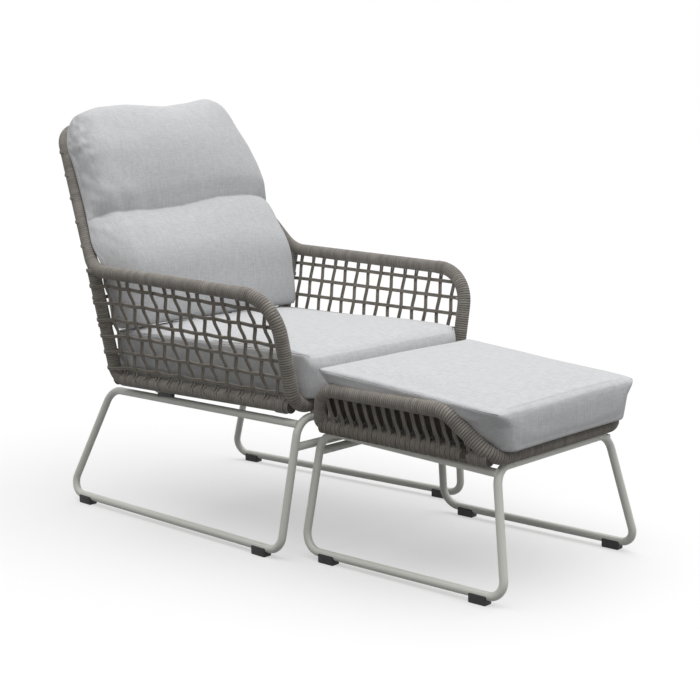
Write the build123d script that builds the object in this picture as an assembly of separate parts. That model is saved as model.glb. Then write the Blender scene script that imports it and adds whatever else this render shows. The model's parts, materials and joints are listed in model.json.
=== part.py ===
from build123d import *
import math
import os

# Lounge chair with its footstool, both on bent tube frames, with rope-wrapped shells and loose cushions.
# Millimetres. +Z is up, the chair looks along -Y, and the footstool stands in front of it.
# Heights and depths are first given in the chair's own frame, and PAIR_SHIFT moves them to the pair's middle.

# The whole pair
PAIR_SHIFT = 216.0  # from the chair's own middle to the middle of chair and footstool together
STOOL_X = -24.0  # the footstool stands this far to the chair's left

# Tubes
TUBE_R = 9.5  # bare frame tube
WRAP_R = 15.0  # the same tube with its rope winding
TUBE_SIDES = 12  # sides that the bare tube's round section is drawn with
WRAP_SIDES = 12  # sides that the wound tube's section is drawn with
BEND_STEP = 24.0  # a bend is drawn in equal turns of at most this many degrees
FLOOR_Z = 20.0  # height of the floor rails' centre line
CLEAR = 0.3  # clearance of a soft cushion

# Chair shell, one wound tube: top bar, raked posts, arms, front members and front bar
ARM_HALF = 361.0
ARM_REAR_Y, ARM_REAR_Z = 250.0, 622.0
ARM_FRONT_Y, ARM_FRONT_Z = -362.0, 605.0
BACK_TOP_IN = 115.0  # the posts' upper corners stand this far inside the arms
BACK_TOP_Y, BACK_TOP_Z = 502.0, 960.0
SEAT_REAR_Y, SEAT_REAR_Z = 246.0, 343.0
SEAT_FRONT_Y, SEAT_FRONT_Z = -370.0, 352.0
SIDE_LEAN = 0.228  # how far the side comes in for each unit down from the arm
BEND_TOP, BEND_ARM_REAR, BEND_ARM_FRONT, BEND_SEAT_FRONT, BEND_SEAT_REAR = 72.0, 75.0, 95.0, 50.0, 32.0
RAIL_SHORT = 8.0  # the seat's side rail stops this far short of the front bar's centre line
BACK_TOP_HALF = ARM_HALF - BACK_TOP_IN

# Chair base: two side frames of bare tube and the bar that joins their fronts
# The four corners of a side frame stand these distances inside the arm's centre line
BASE_REAR_IN, BASE_REAR_Y, BASE_REAR_Z = 106.0, 317.0, 300.0
BASE_FRONT_IN, BASE_FRONT_Y = 63.0, -378.0
FLOOR_REAR_IN, FLOOR_REAR_Y = 57.0, 435.0
FLOOR_FRONT_IN, FLOOR_FRONT_Y = 17.0, -361.0
BASE_REAR_HALF, BASE_FRONT_HALF = ARM_HALF - BASE_REAR_IN, ARM_HALF - BASE_FRONT_IN
FLOOR_REAR_HALF, FLOOR_FRONT_HALF = ARM_HALF - FLOOR_REAR_IN, ARM_HALF - FLOOR_FRONT_IN
FRONT_GAP = 3.5  # spacer between the base's front bar and the shell's front bar
RAIL_DROP = 11.0  # the top rail meets the leg this far under the front bar's centre line
BEND_BASE_REAR, BEND_FLOOR_REAR, BEND_FLOOR_FRONT, BEND_BASE_FRONT = 55.0, 34.0, 38.0, 45.0
STRETCHER_DROP = 64.0  # the stretcher between the front legs, under the front bar
CROSS_Y = 96.0  # the tube under the seat that rests on the base's rails
CROSS_DROP = 10.0  # that tube's centre line, under the seat rails' centre line

# Footstool shell, one wound tube: rear bar, rear posts, wings' top rails, slants and front bar
WING_HALF = 272.0
WING_REAR_Y, WING_REAR_Z = -449.0, 402.6
WING_FRONT_Y, WING_FRONT_Z = -790.0, 400.0
STOOL_REAR_Y, STOOL_REAR_Z = -417.0, 314.0
STOOL_FRONT_Y, STOOL_FRONT_Z = -897.0, 306.0
WING_LEAN = 0.308
BEND_STOOL_REAR, BEND_WING_REAR, BEND_WING_FRONT, BEND_STOOL_FRONT = 30.0, 45.0, 60.0, 50.0

# Footstool base, whose corners stand these distances inside the wing's top rail
STOOL_BASE_IN = 54.0
STOOL_BASE_REAR_Y, STOOL_BASE_REAR_Z = -401.0, 293.5
STOOL_BASE_FRONT_Y = -887.0
STOOL_FLOOR_REAR_IN, STOOL_FLOOR_REAR_Y = 8.0, -385.5
STOOL_FLOOR_FRONT_IN, STOOL_FLOOR_FRONT_Y = 8.5, -945.0
STOOL_BASE_HALF = WING_HALF - STOOL_BASE_IN
STOOL_FLOOR_REAR_HALF, STOOL_FLOOR_FRONT_HALF = WING_HALF - STOOL_FLOOR_REAR_IN, WING_HALF - STOOL_FLOOR_FRONT_IN
STOOL_FRONT_GAP = 1.5
STOOL_RAIL_DROP = 9.5
BEND_STOOL_BASE_REAR, BEND_STOOL_FLOOR_REAR = 50.0, 44.0
BEND_STOOL_FLOOR_FRONT, BEND_STOOL_BASE_FRONT = 33.0, 45.0
STOOL_STRETCHER_DROP = 48.0
STOOL_CROSS_Y = -540.0
STOOL_CROSS_DROP = 0.5

# Feet and spacers
FOOT_LENGTH, FOOT_WIDTH, FOOT_HEIGHT, FOOT_CORNER = 45.0, 25.0, 21.0, 4.0
FOOT_REAR, FOOT_FRONT = 73.0, 64.0  # from the rail's corner to the foot's middle
SPACER_WIDTH, SPACER_DEPTH = 26.0, 23.0
SPACER_INSET = 52.0  # the front spacers stand this far in from the front bar's corners

# Nets of rope and the webbing under the cushions
STRAND_WIDTH = 8.0
STRAND_THICK = 6.0
SIDE_ROWS = (0.185, 0.335, 0.485, 0.62, 0.76, 0.90)  # down from the arm, as shares of the side's height
SIDE_STRANDS = 14
ZIGZAG = 0.24  # how far neighbouring upright strands lean together, as a share of their spacing
BACK_UPPER_ROWS = 6
BACK_LOWER_ROWS = 4
BACK_STRANDS = 8
WING_STRANDS = 15
WING_SLANT = 14.0  # how far a wing's cord runs forward on its way down
WEB_WIDTH = 48.0
WEB_THICK = 2.6
WEB_CROSS_COUNT = 5  # straps across the seat
WEB_LONG_COUNT = 4  # from front to back
STOOL_WEB_CROSS_COUNT = 4
STOOL_WEB_LONG_COUNT = 3
WEB_SEAT = 6.0  # a strap ends this far inside the rail's centre line, on its shoulder

# Seat cushion
SEAT_IN = 78.0  # its sides stand this far inside the arm's centre line
SEAT_HALF = ARM_HALF - SEAT_IN
SEAT_CUSHION_FRONT, SEAT_CUSHION_REAR = -402.0, 226.0
SEAT_THICK_FRONT, SEAT_THICK_REAR = 106.0, 110.0
SEAT_CROWN = 13.0

# Footstool cushion
STOOL_CUSHION_IN, STOOL_CUSHION_UNDER_IN = 17.0, 48.0  # inside the wing's top rail, above and below
STOOL_CUSHION_HALF = WING_HALF - STOOL_CUSHION_IN
STOOL_CUSHION_UNDER_HALF = WING_HALF - STOOL_CUSHION_UNDER_IN
STOOL_CUSHION_REAR, STOOL_CUSHION_FRONT = -436.0, -931.0
STOOL_THICK_REAR, STOOL_THICK_FRONT = 104.0, 86.0
STOOL_CROWN = 15.0

# All box cushions
CORNER_R = 24.0  # corner of a cushion seen from above
DRAW_IN = 5.0  # how far a side is drawn in between two corners
EDGE_IN = 11.0  # how far the upper edge's rounding reaches in
SEAM_RISE = 1.6  # the crown starts this far above the rounded edge
UNDER_IN = 18.0  # how far the underside's edge is drawn in
UNDER_UP = 14.0  # and how far up the side that rounding reaches

# Back cushion: a flat lower part and a fuller upper part over a sewn crease
BACK_IN = 49.0  # its widest place, behind the elbows, stands this far inside the arm's centre line
BACK_HALF = ARM_HALF - BACK_IN
BACK_GAP = 0.4  # from the wound posts to the cushion
BACK_EDGE_R = 21.0
BACK_FOOT = 100.0  # how far in front of the rear bar the back cushion stands on the seat cushion


def side_half(y, z):
    """Half width of the chair's side plane at a place on it."""
    arm = ARM_REAR_Z + (y - ARM_REAR_Y) * (ARM_REAR_Z - ARM_FRONT_Z) / (ARM_REAR_Y - ARM_FRONT_Y)
    return ARM_HALF - SIDE_LEAN * (arm - z)


def wing_half(y, z):
    """Half width of the footstool's wing plane at a place on it."""
    top = WING_REAR_Z + (y - WING_REAR_Y) * (WING_REAR_Z - WING_FRONT_Z) / (WING_REAR_Y - WING_FRONT_Y)
    return WING_HALF - WING_LEAN * (top - z)


def between(a, b, share):
    """The point at a share of the way from a to b."""
    return Vector(*a) + (Vector(*b) - Vector(*a)) * share


def at_height(a, b, z):
    """The point at height z on the line through a and b."""
    a, b = Vector(*a), Vector(*b)
    return between(a, b, (z - a.Z) / (b.Z - a.Z))


def at_depth(a, b, y):
    """The point at depth y on the line through a and b."""
    a, b = Vector(*a), Vector(*b)
    return between(a, b, (y - a.Y) / (b.Y - a.Y))


def mirrored(points):
    """The same points on the other side of the middle plane."""
    return [(-x, y, z) for x, y, z in (tuple(p) for p in points)]


def bend_cut(before, corner, after, radius):
    """Start, middle and end of the arc that rounds a corner."""
    corner = Vector(*corner)
    towards_before = (Vector(*before) - corner).normalized()
    towards_after = (Vector(*after) - corner).normalized()
    half = math.radians(towards_before.get_angle(towards_after)) / 2
    reach = radius / math.tan(half)
    inward = (towards_before + towards_after).normalized()
    middle = corner + inward * (radius / math.sin(half) - radius)
    return corner + towards_before * reach, middle, corner + towards_after * reach


def bent_tube(points, bends, radius, sides):
    """A solid tube along straight runs with one bend radius for each inner point.

    Each bend is an arc tangent to its two runs, drawn in equal turns, and the tube is mitred at each turn.
    """
    route = [Vector(*points[0])]
    for index, bend in enumerate(bends, start=1):
        start, middle, end = bend_cut(points[index - 1], points[index], points[index + 1], bend)
        arc = Edge.make_three_point_arc(start, middle, end)
        turns = max(2, math.ceil(math.degrees(arc.length / bend) / BEND_STEP))
        route += [arc.position_at(turn / turns) for turn in range(turns + 1)]
    route.append(Vector(*points[-1]))
    path = Wire([Edge.make_line(a, b) for a, b in zip(route, route[1:]) if (b - a).length > 0.01])
    section = Plane(path.position_at(0), z_dir=path.tangent_at(0)) * RegularPolygon(radius, sides)
    return sweep(section, path=path, transition=Transition.RIGHT)


def bare(points, bends=()):
    return bent_tube(points, bends, TUBE_R, TUBE_SIDES)


def wound(points, bends=()):
    return bent_tube(points, bends, WRAP_R, WRAP_SIDES)


def block(centre, size, along=None):
    """A box about a point, with its length turned along a direction in plan."""
    turn = 0.0 if along is None else math.degrees(math.atan2(along.Y, along.X)) - 90.0
    return Pos(*centre) * Rot(0, 0, turn) * Box(*size)


def inset_cell(cell, insets):
    """A four-cornered cell with each edge moved inward by its own distance."""
    lines = []
    for index, inset in enumerate(insets):
        start, end = cell[index], cell[(index + 1) % 4]
        along = (end - start).normalized()
        inward = Vector(-along.Y, along.X)
        lines.append((start + inward * inset, along))
    corners = []
    for index in range(4):
        (p, u), (q, v) = lines[index - 1], lines[index]
        share = ((q - p).X * v.Y - (q - p).Y * v.X) / (u.X * v.Y - u.Y * v.X)
        corners.append(p + u * share)
    return corners


def net(plane, outline, grid, width, thick, open_edges=True):
    """A flat net in a plane: an outline with one gap for each cell of a grid of 3-D points.

    The grid's outer lines lie on the tubes that carry the net, so no strand runs along them.
    """
    flat = [[plane.to_local_coords(Vector(*p)) for p in row] for row in grid]
    rows, columns = len(flat) - 1, len(flat[0]) - 1
    edge = 0.0 if open_edges else width / 2
    gaps = []
    for row in range(rows):
        for column in range(columns):
            cell = [flat[row][column], flat[row][column + 1], flat[row + 1][column + 1], flat[row + 1][column]]
            insets = [
                width / 2 if row > 0 else edge,
                width / 2 if column < columns - 1 else edge,
                width / 2 if row < rows - 1 else edge,
                width / 2 if column > 0 else edge,
            ]
            turn = (cell[1] - cell[0]).cross(cell[2] - cell[1]).Z
            if turn < 0:
                cell = [cell[0], cell[3], cell[2], cell[1]]
                insets = [insets[3], insets[2], insets[1], insets[0]]
            gaps.append(make_face(Polyline(*inset_cell(cell, insets), close=True)))
    sheet = make_face(plane.to_local_coords(outline)) - gaps
    return plane * extrude(sheet, thick / 2, both=True)


def rounded_outline(points, radii):
    """A closed outline with arcs of the given radii at its corners, and sharp corners where the radius is 0."""
    edges = []
    count = len(points)
    cuts = []
    for index, radius in enumerate(radii):
        if radius:
            cuts.append(bend_cut(points[index - 1], points[index], points[(index + 1) % count], radius))
        else:
            corner = Vector(*points[index])
            cuts.append((corner, None, corner))
    for index, (start, middle, end) in enumerate(cuts):
        if middle is not None:
            edges.append(Edge.make_three_point_arc(start, middle, end))
        edges.append(Edge.make_line(end, cuts[(index + 1) % count][0]))
    return Wire(edges)


# Chair: corner points of the shell and the base, left side


def shell_points():
    seat_rear = (-side_half(SEAT_REAR_Y, SEAT_REAR_Z), SEAT_REAR_Y, SEAT_REAR_Z)
    seat_front = (-side_half(SEAT_FRONT_Y, SEAT_FRONT_Z), SEAT_FRONT_Y, SEAT_FRONT_Z)
    arm_rear = (-ARM_HALF, ARM_REAR_Y, ARM_REAR_Z)
    arm_front = (-ARM_HALF, ARM_FRONT_Y, ARM_FRONT_Z)
    back_top = (-BACK_TOP_HALF, BACK_TOP_Y, BACK_TOP_Z)
    return back_top, arm_rear, arm_front, seat_front, seat_rear


def wing_points():
    stool_rear = (-wing_half(STOOL_REAR_Y, STOOL_REAR_Z), STOOL_REAR_Y, STOOL_REAR_Z)
    stool_front = (-wing_half(STOOL_FRONT_Y, STOOL_FRONT_Z), STOOL_FRONT_Y, STOOL_FRONT_Z)
    wing_rear = (-WING_HALF, WING_REAR_Y, WING_REAR_Z)
    wing_front = (-WING_HALF, WING_FRONT_Y, WING_FRONT_Z)
    return stool_rear, wing_rear, wing_front, stool_front


def both_sides(solid):
    """A left piece and its mirror image."""
    return solid, mirror(solid, about=Plane.YZ)


def base_frame(rear_top, front_top, rear_floor, front_floor, rail_drop, bends, stretcher_drop, front_legs):
    """Side frames, front bar, stretcher and four feet of one base."""
    bend_rear, bend_floor_rear, bend_floor_front, bend_front = bends
    front_mirror = mirrored([front_top])[0]
    front_bar_left = (0.0, front_top[1], front_top[2])
    leg_top = bend_cut(front_floor, front_top, front_bar_left, bend_front)[0]
    bar = bare(
        [leg_top, front_top, front_mirror, Vector(-leg_top.X, leg_top.Y, leg_top.Z)], [bend_front, bend_front]
    )
    rail_end = at_height(front_floor, front_top, front_top[2] - rail_drop)
    side = bare(
        [rail_end, rear_top, rear_floor, front_floor, leg_top], [bend_rear, bend_floor_rear, bend_floor_front]
    )
    left, right = both_sides(side - bar)
    if front_legs:
        line = (front_floor, front_top)
    else:
        line = (rear_floor, rear_top)
    stretcher_end = at_height(*line, line[1][2] - stretcher_drop)
    stretcher = bare([stretcher_end, Vector(-stretcher_end.X, stretcher_end.Y, stretcher_end.Z)])
    stretcher = stretcher - left - right
    feet = {}
    along = (Vector(*front_floor) - Vector(*rear_floor)).normalized()
    for end, corner, offset in (("rear", rear_floor, FOOT_REAR), ("front", front_floor, -FOOT_FRONT)):
        middle = Vector(*corner) + along * offset
        foot = block((middle.X, middle.Y, FOOT_HEIGHT / 2), (FOOT_WIDTH, FOOT_LENGTH, FOOT_HEIGHT), along)
        foot = chamfer(foot.edges().filter_by(Axis.Z), FOOT_CORNER) - left
        feet[end + "_left"], feet[end + "_right"] = both_sides(foot)
    return left, right, bar, stretcher, feet


def make_chair(nodes):
    back_top, arm_rear, arm_front, seat_front, seat_rear = shell_points()
    top_middle = (0.0, BACK_TOP_Y, BACK_TOP_Z)
    front_middle = (0.0, SEAT_FRONT_Y, SEAT_FRONT_Z)
    loop_left, loop_right = both_sides(
        wound(
            [top_middle, back_top, arm_rear, arm_front, seat_front, front_middle],
            [BEND_TOP, BEND_ARM_REAR, BEND_ARM_FRONT, BEND_SEAT_FRONT],
        )
    )
    rail_front = at_depth(seat_rear, seat_front, SEAT_FRONT_Y + RAIL_SHORT)
    side_left, side_right = both_sides(wound([arm_rear, seat_rear, rail_front], [BEND_SEAT_REAR]) - loop_left)
    rear_bar = wound([seat_rear, mirrored([seat_rear])[0]]) - side_left - side_right
    nodes["chair_loop_left"], nodes["chair_loop_right"] = loop_left, loop_right
    nodes["chair_side_rail_left"], nodes["chair_side_rail_right"] = side_left, side_right
    nodes["chair_rear_bar"] = rear_bar

    cross_point = at_depth(seat_rear, seat_front, CROSS_Y)
    cross_z = cross_point.Z - CROSS_DROP
    cross = bare([(cross_point.X, CROSS_Y, cross_z), (-cross_point.X, CROSS_Y, cross_z)])
    cross = cross - side_left - side_right
    nodes["chair_cross_tube"] = cross

    front_z = SEAT_FRONT_Z - WRAP_R - TUBE_R - FRONT_GAP
    rear_top = (-BASE_REAR_HALF, BASE_REAR_Y, BASE_REAR_Z)
    front_top = (-BASE_FRONT_HALF, BASE_FRONT_Y, front_z)
    rear_floor = (-FLOOR_REAR_HALF, FLOOR_REAR_Y, FLOOR_Z)
    front_floor = (-FLOOR_FRONT_HALF, FLOOR_FRONT_Y, FLOOR_Z)
    bends = (BEND_BASE_REAR, BEND_FLOOR_REAR, BEND_FLOOR_FRONT, BEND_BASE_FRONT)
    left, right, bar, stretcher, feet = base_frame(
        rear_top, front_top, rear_floor, front_floor, RAIL_DROP, bends, STRETCHER_DROP, front_legs=True
    )
    nodes["chair_side_frame_left"], nodes["chair_side_frame_right"] = left, right
    nodes["chair_front_bar"] = bar
    nodes["chair_stretcher"] = stretcher
    for place, foot in feet.items():
        nodes["chair_foot_" + place] = foot

    rail_point = at_depth(at_height(front_floor, front_top, front_z - RAIL_DROP), rear_top, CROSS_Y)
    spacer = block(
        (rail_point.X, CROSS_Y, (rail_point.Z + cross_z) / 2), (SPACER_WIDTH, SPACER_DEPTH, cross_z - rail_point.Z)
    )
    spacer = spacer - left - cross - side_left
    nodes["chair_spacer_rear_left"], nodes["chair_spacer_rear_right"] = both_sides(spacer)
    spacer = block(
        (SPACER_INSET - BASE_FRONT_HALF, (BASE_FRONT_Y + SEAT_FRONT_Y) / 2, (front_z + SEAT_FRONT_Z) / 2),
        (SPACER_WIDTH, SPACER_DEPTH, SEAT_FRONT_Z - front_z),
    )
    nodes["chair_spacer_front_left"], nodes["chair_spacer_front_right"] = both_sides(spacer - bar - loop_left)

    tubes = [loop_left, loop_right, side_left, side_right, rear_bar]
    nodes["chair_side_net_left"], nodes["chair_side_net_right"] = both_sides(
        side_net(arm_rear, arm_front, seat_front, seat_rear) - loop_left - side_left
    )
    for name, net_part in back_nets(back_top, arm_rear, seat_rear).items():
        for tube in tubes:
            net_part = net_part - tube
        nodes[name] = net_part
    web = webbing(seat_rear, seat_front, WEB_CROSS_COUNT, WEB_LONG_COUNT)
    for tube in tubes:
        web = web - tube
    nodes["chair_seat_webbing"] = web


def side_net(arm_rear, arm_front, seat_front, seat_rear):
    """Rope net of one side: rows along the arm, and upright strands that lean together in pairs."""
    plane = Plane(arm_rear, x_dir=Vector(*arm_front) - Vector(*arm_rear), z_dir=side_normal(arm_rear, arm_front, seat_front))
    outline = rounded_outline([arm_rear, arm_front, seat_front, seat_rear], [0, BEND_ARM_FRONT, 0, BEND_SEAT_REAR])
    pitch = 1.0 / (SIDE_STRANDS + 1)
    grid = []
    for row, depth in enumerate((0.0, *SIDE_ROWS, 1.0)):
        rear = between(arm_rear, seat_rear, depth)
        front = between(arm_front, seat_front, depth)
        lean = ZIGZAG * pitch * (0, 0, 1, 1, 0, 0, -1, -1)[row]
        shares = [0.0]
        for strand in range(1, SIDE_STRANDS + 1):
            shares.append(strand * pitch + (lean if strand % 2 else -lean))
        shares.append(1.0)
        grid.append([between(rear, front, share) for share in shares])
    return net(plane, outline, grid, STRAND_WIDTH, STRAND_THICK)


def side_normal(a, b, c):
    """The outward normal of a left side's plane."""
    normal = (Vector(*b) - Vector(*a)).cross(Vector(*c) - Vector(*b)).normalized()
    return normal if normal.X < 0 else normal * -1


def even_grid(left_top, right_top, right_bottom, left_bottom, rows, columns):
    """A grid of points with even rows and columns between four corners."""
    grid = []
    for row in range(rows + 1):
        start = between(left_top, left_bottom, row / rows)
        end = between(right_top, right_bottom, row / rows)
        grid.append([between(start, end, column / columns) for column in range(columns + 1)])
    return grid


def back_nets(back_top, arm_rear, seat_rear):
    """Rope nets of the back: a raked one between the posts and an upright one behind the seat."""
    nets = {}
    for name, upper, lower, rows, bend in (
        ("chair_back_net_upper", back_top, arm_rear, BACK_UPPER_ROWS, BEND_TOP),
        ("chair_back_net_lower", arm_rear, seat_rear, BACK_LOWER_ROWS, 0),
    ):
        corners = [upper, mirrored([upper])[0], mirrored([lower])[0], lower]
        plane = Plane(upper, x_dir=(1, 0, 0), z_dir=Vector(1, 0, 0).cross(Vector(*lower) - Vector(*upper)))
        outline = rounded_outline(corners, [bend, bend, 0, 0])
        grid = even_grid(*corners, rows, BACK_STRANDS + 1)
        nets[name] = net(plane, outline, grid, STRAND_WIDTH, STRAND_THICK)
    elbow_cord = Pos(0, arm_rear[1], arm_rear[2]) * Box(2 * ARM_HALF, STRAND_THICK, STRAND_WIDTH)
    nets["chair_back_net_lower"] += elbow_cord
    nets["chair_back_net_upper"] -= nets["chair_back_net_lower"]
    return nets


def webbing(rear, front, cross, long):
    """Straps that carry a cushion: a flat lattice whose ends lie on the shoulders of the rails."""
    rise = WRAP_R - WEB_THICK / 2
    inner_rear = Vector(rear[0] + WEB_SEAT, rear[1] - WEB_SEAT, rear[2] + rise)
    inner_front = Vector(front[0] + WEB_SEAT, front[1] + WEB_SEAT, front[2] + rise)
    corners = [tuple(inner_front), *mirrored([inner_front, inner_rear]), tuple(inner_rear)]
    plane = Plane(corners[0], x_dir=(1, 0, 0), z_dir=Vector(1, 0, 0).cross(Vector(*corners[3]) - Vector(*corners[0])))
    outline = rounded_outline(corners, [0, 0, 0, 0])
    grid = even_grid(*corners, cross + 1, long + 1)
    return net(plane, outline, grid, WEB_WIDTH, WEB_THICK)


def make_stool(nodes):
    stool_rear, wing_rear, wing_front, stool_front = wing_points()
    rear_middle = (0.0, STOOL_REAR_Y, STOOL_REAR_Z)
    front_middle = (0.0, STOOL_FRONT_Y, STOOL_FRONT_Z)
    loop_left, loop_right = both_sides(
        wound(
            [rear_middle, stool_rear, wing_rear, wing_front, stool_front, front_middle],
            [BEND_STOOL_REAR, BEND_WING_REAR, BEND_WING_FRONT, BEND_STOOL_FRONT],
        )
    )
    rail_ends = [at_depth(stool_rear, stool_front, y) for y in (STOOL_REAR_Y - RAIL_SHORT, STOOL_FRONT_Y + RAIL_SHORT)]
    rail_left, rail_right = both_sides(wound(rail_ends) - loop_left)
    nodes["stool_loop_left"], nodes["stool_loop_right"] = loop_left, loop_right
    nodes["stool_lower_rail_left"], nodes["stool_lower_rail_right"] = rail_left, rail_right

    cross_point = at_depth(stool_rear, stool_front, STOOL_CROSS_Y)
    cross_z = cross_point.Z - STOOL_CROSS_DROP
    cross = bare([(cross_point.X, STOOL_CROSS_Y, cross_z), (-cross_point.X, STOOL_CROSS_Y, cross_z)])
    cross = cross - rail_left - rail_right
    nodes["stool_cross_tube"] = cross

    across = STOOL_BASE_FRONT_Y - STOOL_FRONT_Y
    front_z = STOOL_FRONT_Z - math.sqrt((WRAP_R + TUBE_R + STOOL_FRONT_GAP) ** 2 - across**2)
    rear_top = (-STOOL_BASE_HALF, STOOL_BASE_REAR_Y, STOOL_BASE_REAR_Z)
    front_top = (-STOOL_BASE_HALF, STOOL_BASE_FRONT_Y, front_z)
    rear_floor = (-STOOL_FLOOR_REAR_HALF, STOOL_FLOOR_REAR_Y, FLOOR_Z)
    front_floor = (-STOOL_FLOOR_FRONT_HALF, STOOL_FLOOR_FRONT_Y, FLOOR_Z)
    bends = (BEND_STOOL_BASE_REAR, BEND_STOOL_FLOOR_REAR, BEND_STOOL_FLOOR_FRONT, BEND_STOOL_BASE_FRONT)
    left, right, bar, stretcher, feet = base_frame(
        rear_top, front_top, rear_floor, front_floor, STOOL_RAIL_DROP, bends, STOOL_STRETCHER_DROP, front_legs=False,
    )
    nodes["stool_side_frame_left"], nodes["stool_side_frame_right"] = left, right
    nodes["stool_front_bar"] = bar
    nodes["stool_stretcher"] = stretcher
    for place, foot in feet.items():
        nodes["stool_foot_" + place] = foot

    rail_point = at_depth(at_height(front_floor, front_top, front_z - STOOL_RAIL_DROP), rear_top, STOOL_CROSS_Y)
    spacer = block(
        (rail_point.X, STOOL_CROSS_Y, (rail_point.Z + cross_z) / 2),
        (SPACER_WIDTH, SPACER_DEPTH, cross_z - rail_point.Z),
    )
    nodes["stool_spacer_rear_left"], nodes["stool_spacer_rear_right"] = both_sides(spacer - left - cross - rail_left)
    spacer = block(
        (SPACER_INSET - STOOL_BASE_HALF, (STOOL_BASE_FRONT_Y + STOOL_FRONT_Y) / 2, (front_z + STOOL_FRONT_Z) / 2),
        (SPACER_WIDTH, SPACER_DEPTH, STOOL_FRONT_Z - front_z),
    )
    nodes["stool_spacer_front_left"], nodes["stool_spacer_front_right"] = both_sides(spacer - bar - loop_left)

    cords = wing_cords(stool_rear, wing_rear, wing_front, stool_front)
    nodes["stool_wing_cords_left"], nodes["stool_wing_cords_right"] = both_sides(cords - loop_left - rail_left)
    web = webbing(stool_rear, stool_front, STOOL_WEB_CROSS_COUNT, STOOL_WEB_LONG_COUNT)
    for tube in (loop_left, loop_right, rail_left, rail_right):
        web = web - tube
    nodes["stool_webbing"] = web


def wing_cords(stool_rear, wing_rear, wing_front, stool_front):
    """Cords of one wing, from the top rail down to the lower rail, each leaning a little forward."""
    plane = Plane(
        wing_rear, x_dir=Vector(*wing_front) - Vector(*wing_rear), z_dir=side_normal(wing_rear, wing_front, stool_front)
    )
    outline = rounded_outline(
        [wing_rear, wing_front, stool_front, stool_rear], [BEND_WING_REAR, BEND_WING_FRONT, 0, 0]
    )
    length = STOOL_REAR_Y - STOOL_FRONT_Y
    depths = [STOOL_REAR_Y + length]
    depths += [STOOL_REAR_Y - length * strand / (WING_STRANDS + 1) for strand in range(1, WING_STRANDS + 1)]
    depths.append(STOOL_FRONT_Y - length)
    top = [at_depth(wing_rear, wing_front, y + WING_SLANT) for y in depths]
    bottom = [at_depth(stool_rear, stool_front, y) for y in depths]
    return net(plane, outline, [top, bottom], STRAND_WIDTH, STRAND_THICK)


# Cushions


def cushion_ring(half, rear, front, inset):
    """Outline of a box cushion at one level: corner arcs, and sides that are drawn in between them.

    rear and front are the level's two edges in the middle plane.
    """
    forward = (front - rear).normalized()
    side = Vector(half - inset, 0, 0)
    rear, front = rear + forward * inset, front - forward * inset
    corners = [rear - side, rear + side, front + side, front - side]
    cuts = [bend_cut(corners[i - 1], corners[i], corners[(i + 1) % 4], CORNER_R) for i in range(4)]
    inward = (forward, Vector(-1, 0, 0), forward * -1, Vector(1, 0, 0))
    edges = []
    for index, (start, middle, end) in enumerate(cuts):
        following = cuts[(index + 1) % 4][0]
        edges.append(Edge.make_three_point_arc(start, middle, end))
        edges.append(Edge.make_three_point_arc(end, (end + following) / 2 + inward[index] * DRAW_IN, following))
    return Wire(edges)


def crowned_block(half, low_rear, low_front, high_rear, high_front, crown):
    """A block, larger than the cushion all round, whose top rises from the cushion's edges to its crown."""
    margin = (high_front - high_rear).normalized() * CORNER_R
    outer = [low_rear - margin, high_rear - margin, high_front + margin, low_front + margin]
    sections = []
    for x, rise in ((-half - CORNER_R, 0.0), (0.0, crown), (half + CORNER_R, 0.0)):
        low_back, back, front, low_ahead = [point + Vector(x, 0, 0) for point in outer]
        back, front = back + Vector(0, 0, SEAM_RISE), front + Vector(0, 0, SEAM_RISE)
        top = (back + front) / 2 + Vector(0, 0, rise + crown * 0.1)
        edges = [Edge.make_line(low_back, back), Edge.make_three_point_arc(back, top, front)]
        edges += [Edge.make_line(front, low_ahead), Edge.make_line(low_ahead, low_back)]
        sections.append(Wire(edges))
    return Solid.make_loft(sections)


def box_cushion(half_low, half_high, rail, rear_y, front_y, thick_rear, thick_front, crown):
    """A box cushion that lies on its rails: rounded edges, drawn-in sides and a crowned top.

    rail gives the height of the rails' centre line at a depth.
    """
    low_rear, low_front = [Vector(0, y, rail(y) + WRAP_R + CLEAR) for y in (rear_y, front_y)]
    high_rear, high_front = low_rear + Vector(0, 0, thick_rear), low_front + Vector(0, 0, thick_front)
    rings = []
    for share, extra, inset in (
        (0.0, 0.0, UNDER_IN),
        (0.0, UNDER_UP, UNDER_IN * 0.1),
        (0.7, 0.0, 0.0),
        (1.0, -EDGE_IN * 0.7, EDGE_IN * 0.2),
        (1.0, 0.0, EDGE_IN),
        (1.0, 2 * crown + SEAM_RISE, EDGE_IN),
    ):
        up = Vector(0, 0, extra)
        rear = low_rear + (high_rear - low_rear) * share + up
        front = low_front + (high_front - low_front) * share + up
        half = half_low + (half_high - half_low) * min(share / 0.7, 1.0)
        rings.append(cushion_ring(half, rear, front, inset))
    under = Vector(0, 0, 1)
    crowned = crowned_block(half_high, low_rear - under, low_front - under, high_rear, high_front, crown)
    return Solid.make_loft(rings, ruled=True) & crowned


def make_seat_cushion():
    def rail(y):
        return SEAT_REAR_Z + (y - SEAT_REAR_Y) * (SEAT_FRONT_Z - SEAT_REAR_Z) / (SEAT_FRONT_Y - SEAT_REAR_Y)

    return box_cushion(
        SEAT_HALF, SEAT_HALF, rail, SEAT_CUSHION_REAR, SEAT_CUSHION_FRONT, SEAT_THICK_REAR, SEAT_THICK_FRONT,
        SEAT_CROWN,
    )


def make_stool_cushion():
    def rail(y):
        return STOOL_REAR_Z + (y - STOOL_REAR_Y) * (STOOL_FRONT_Z - STOOL_REAR_Z) / (STOOL_FRONT_Y - STOOL_REAR_Y)

    return box_cushion(
        STOOL_CUSHION_UNDER_HALF, STOOL_CUSHION_HALF, rail, STOOL_CUSHION_REAR, STOOL_CUSHION_FRONT,
        STOOL_THICK_REAR, STOOL_THICK_FRONT, STOOL_CROWN,
    )


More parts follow.
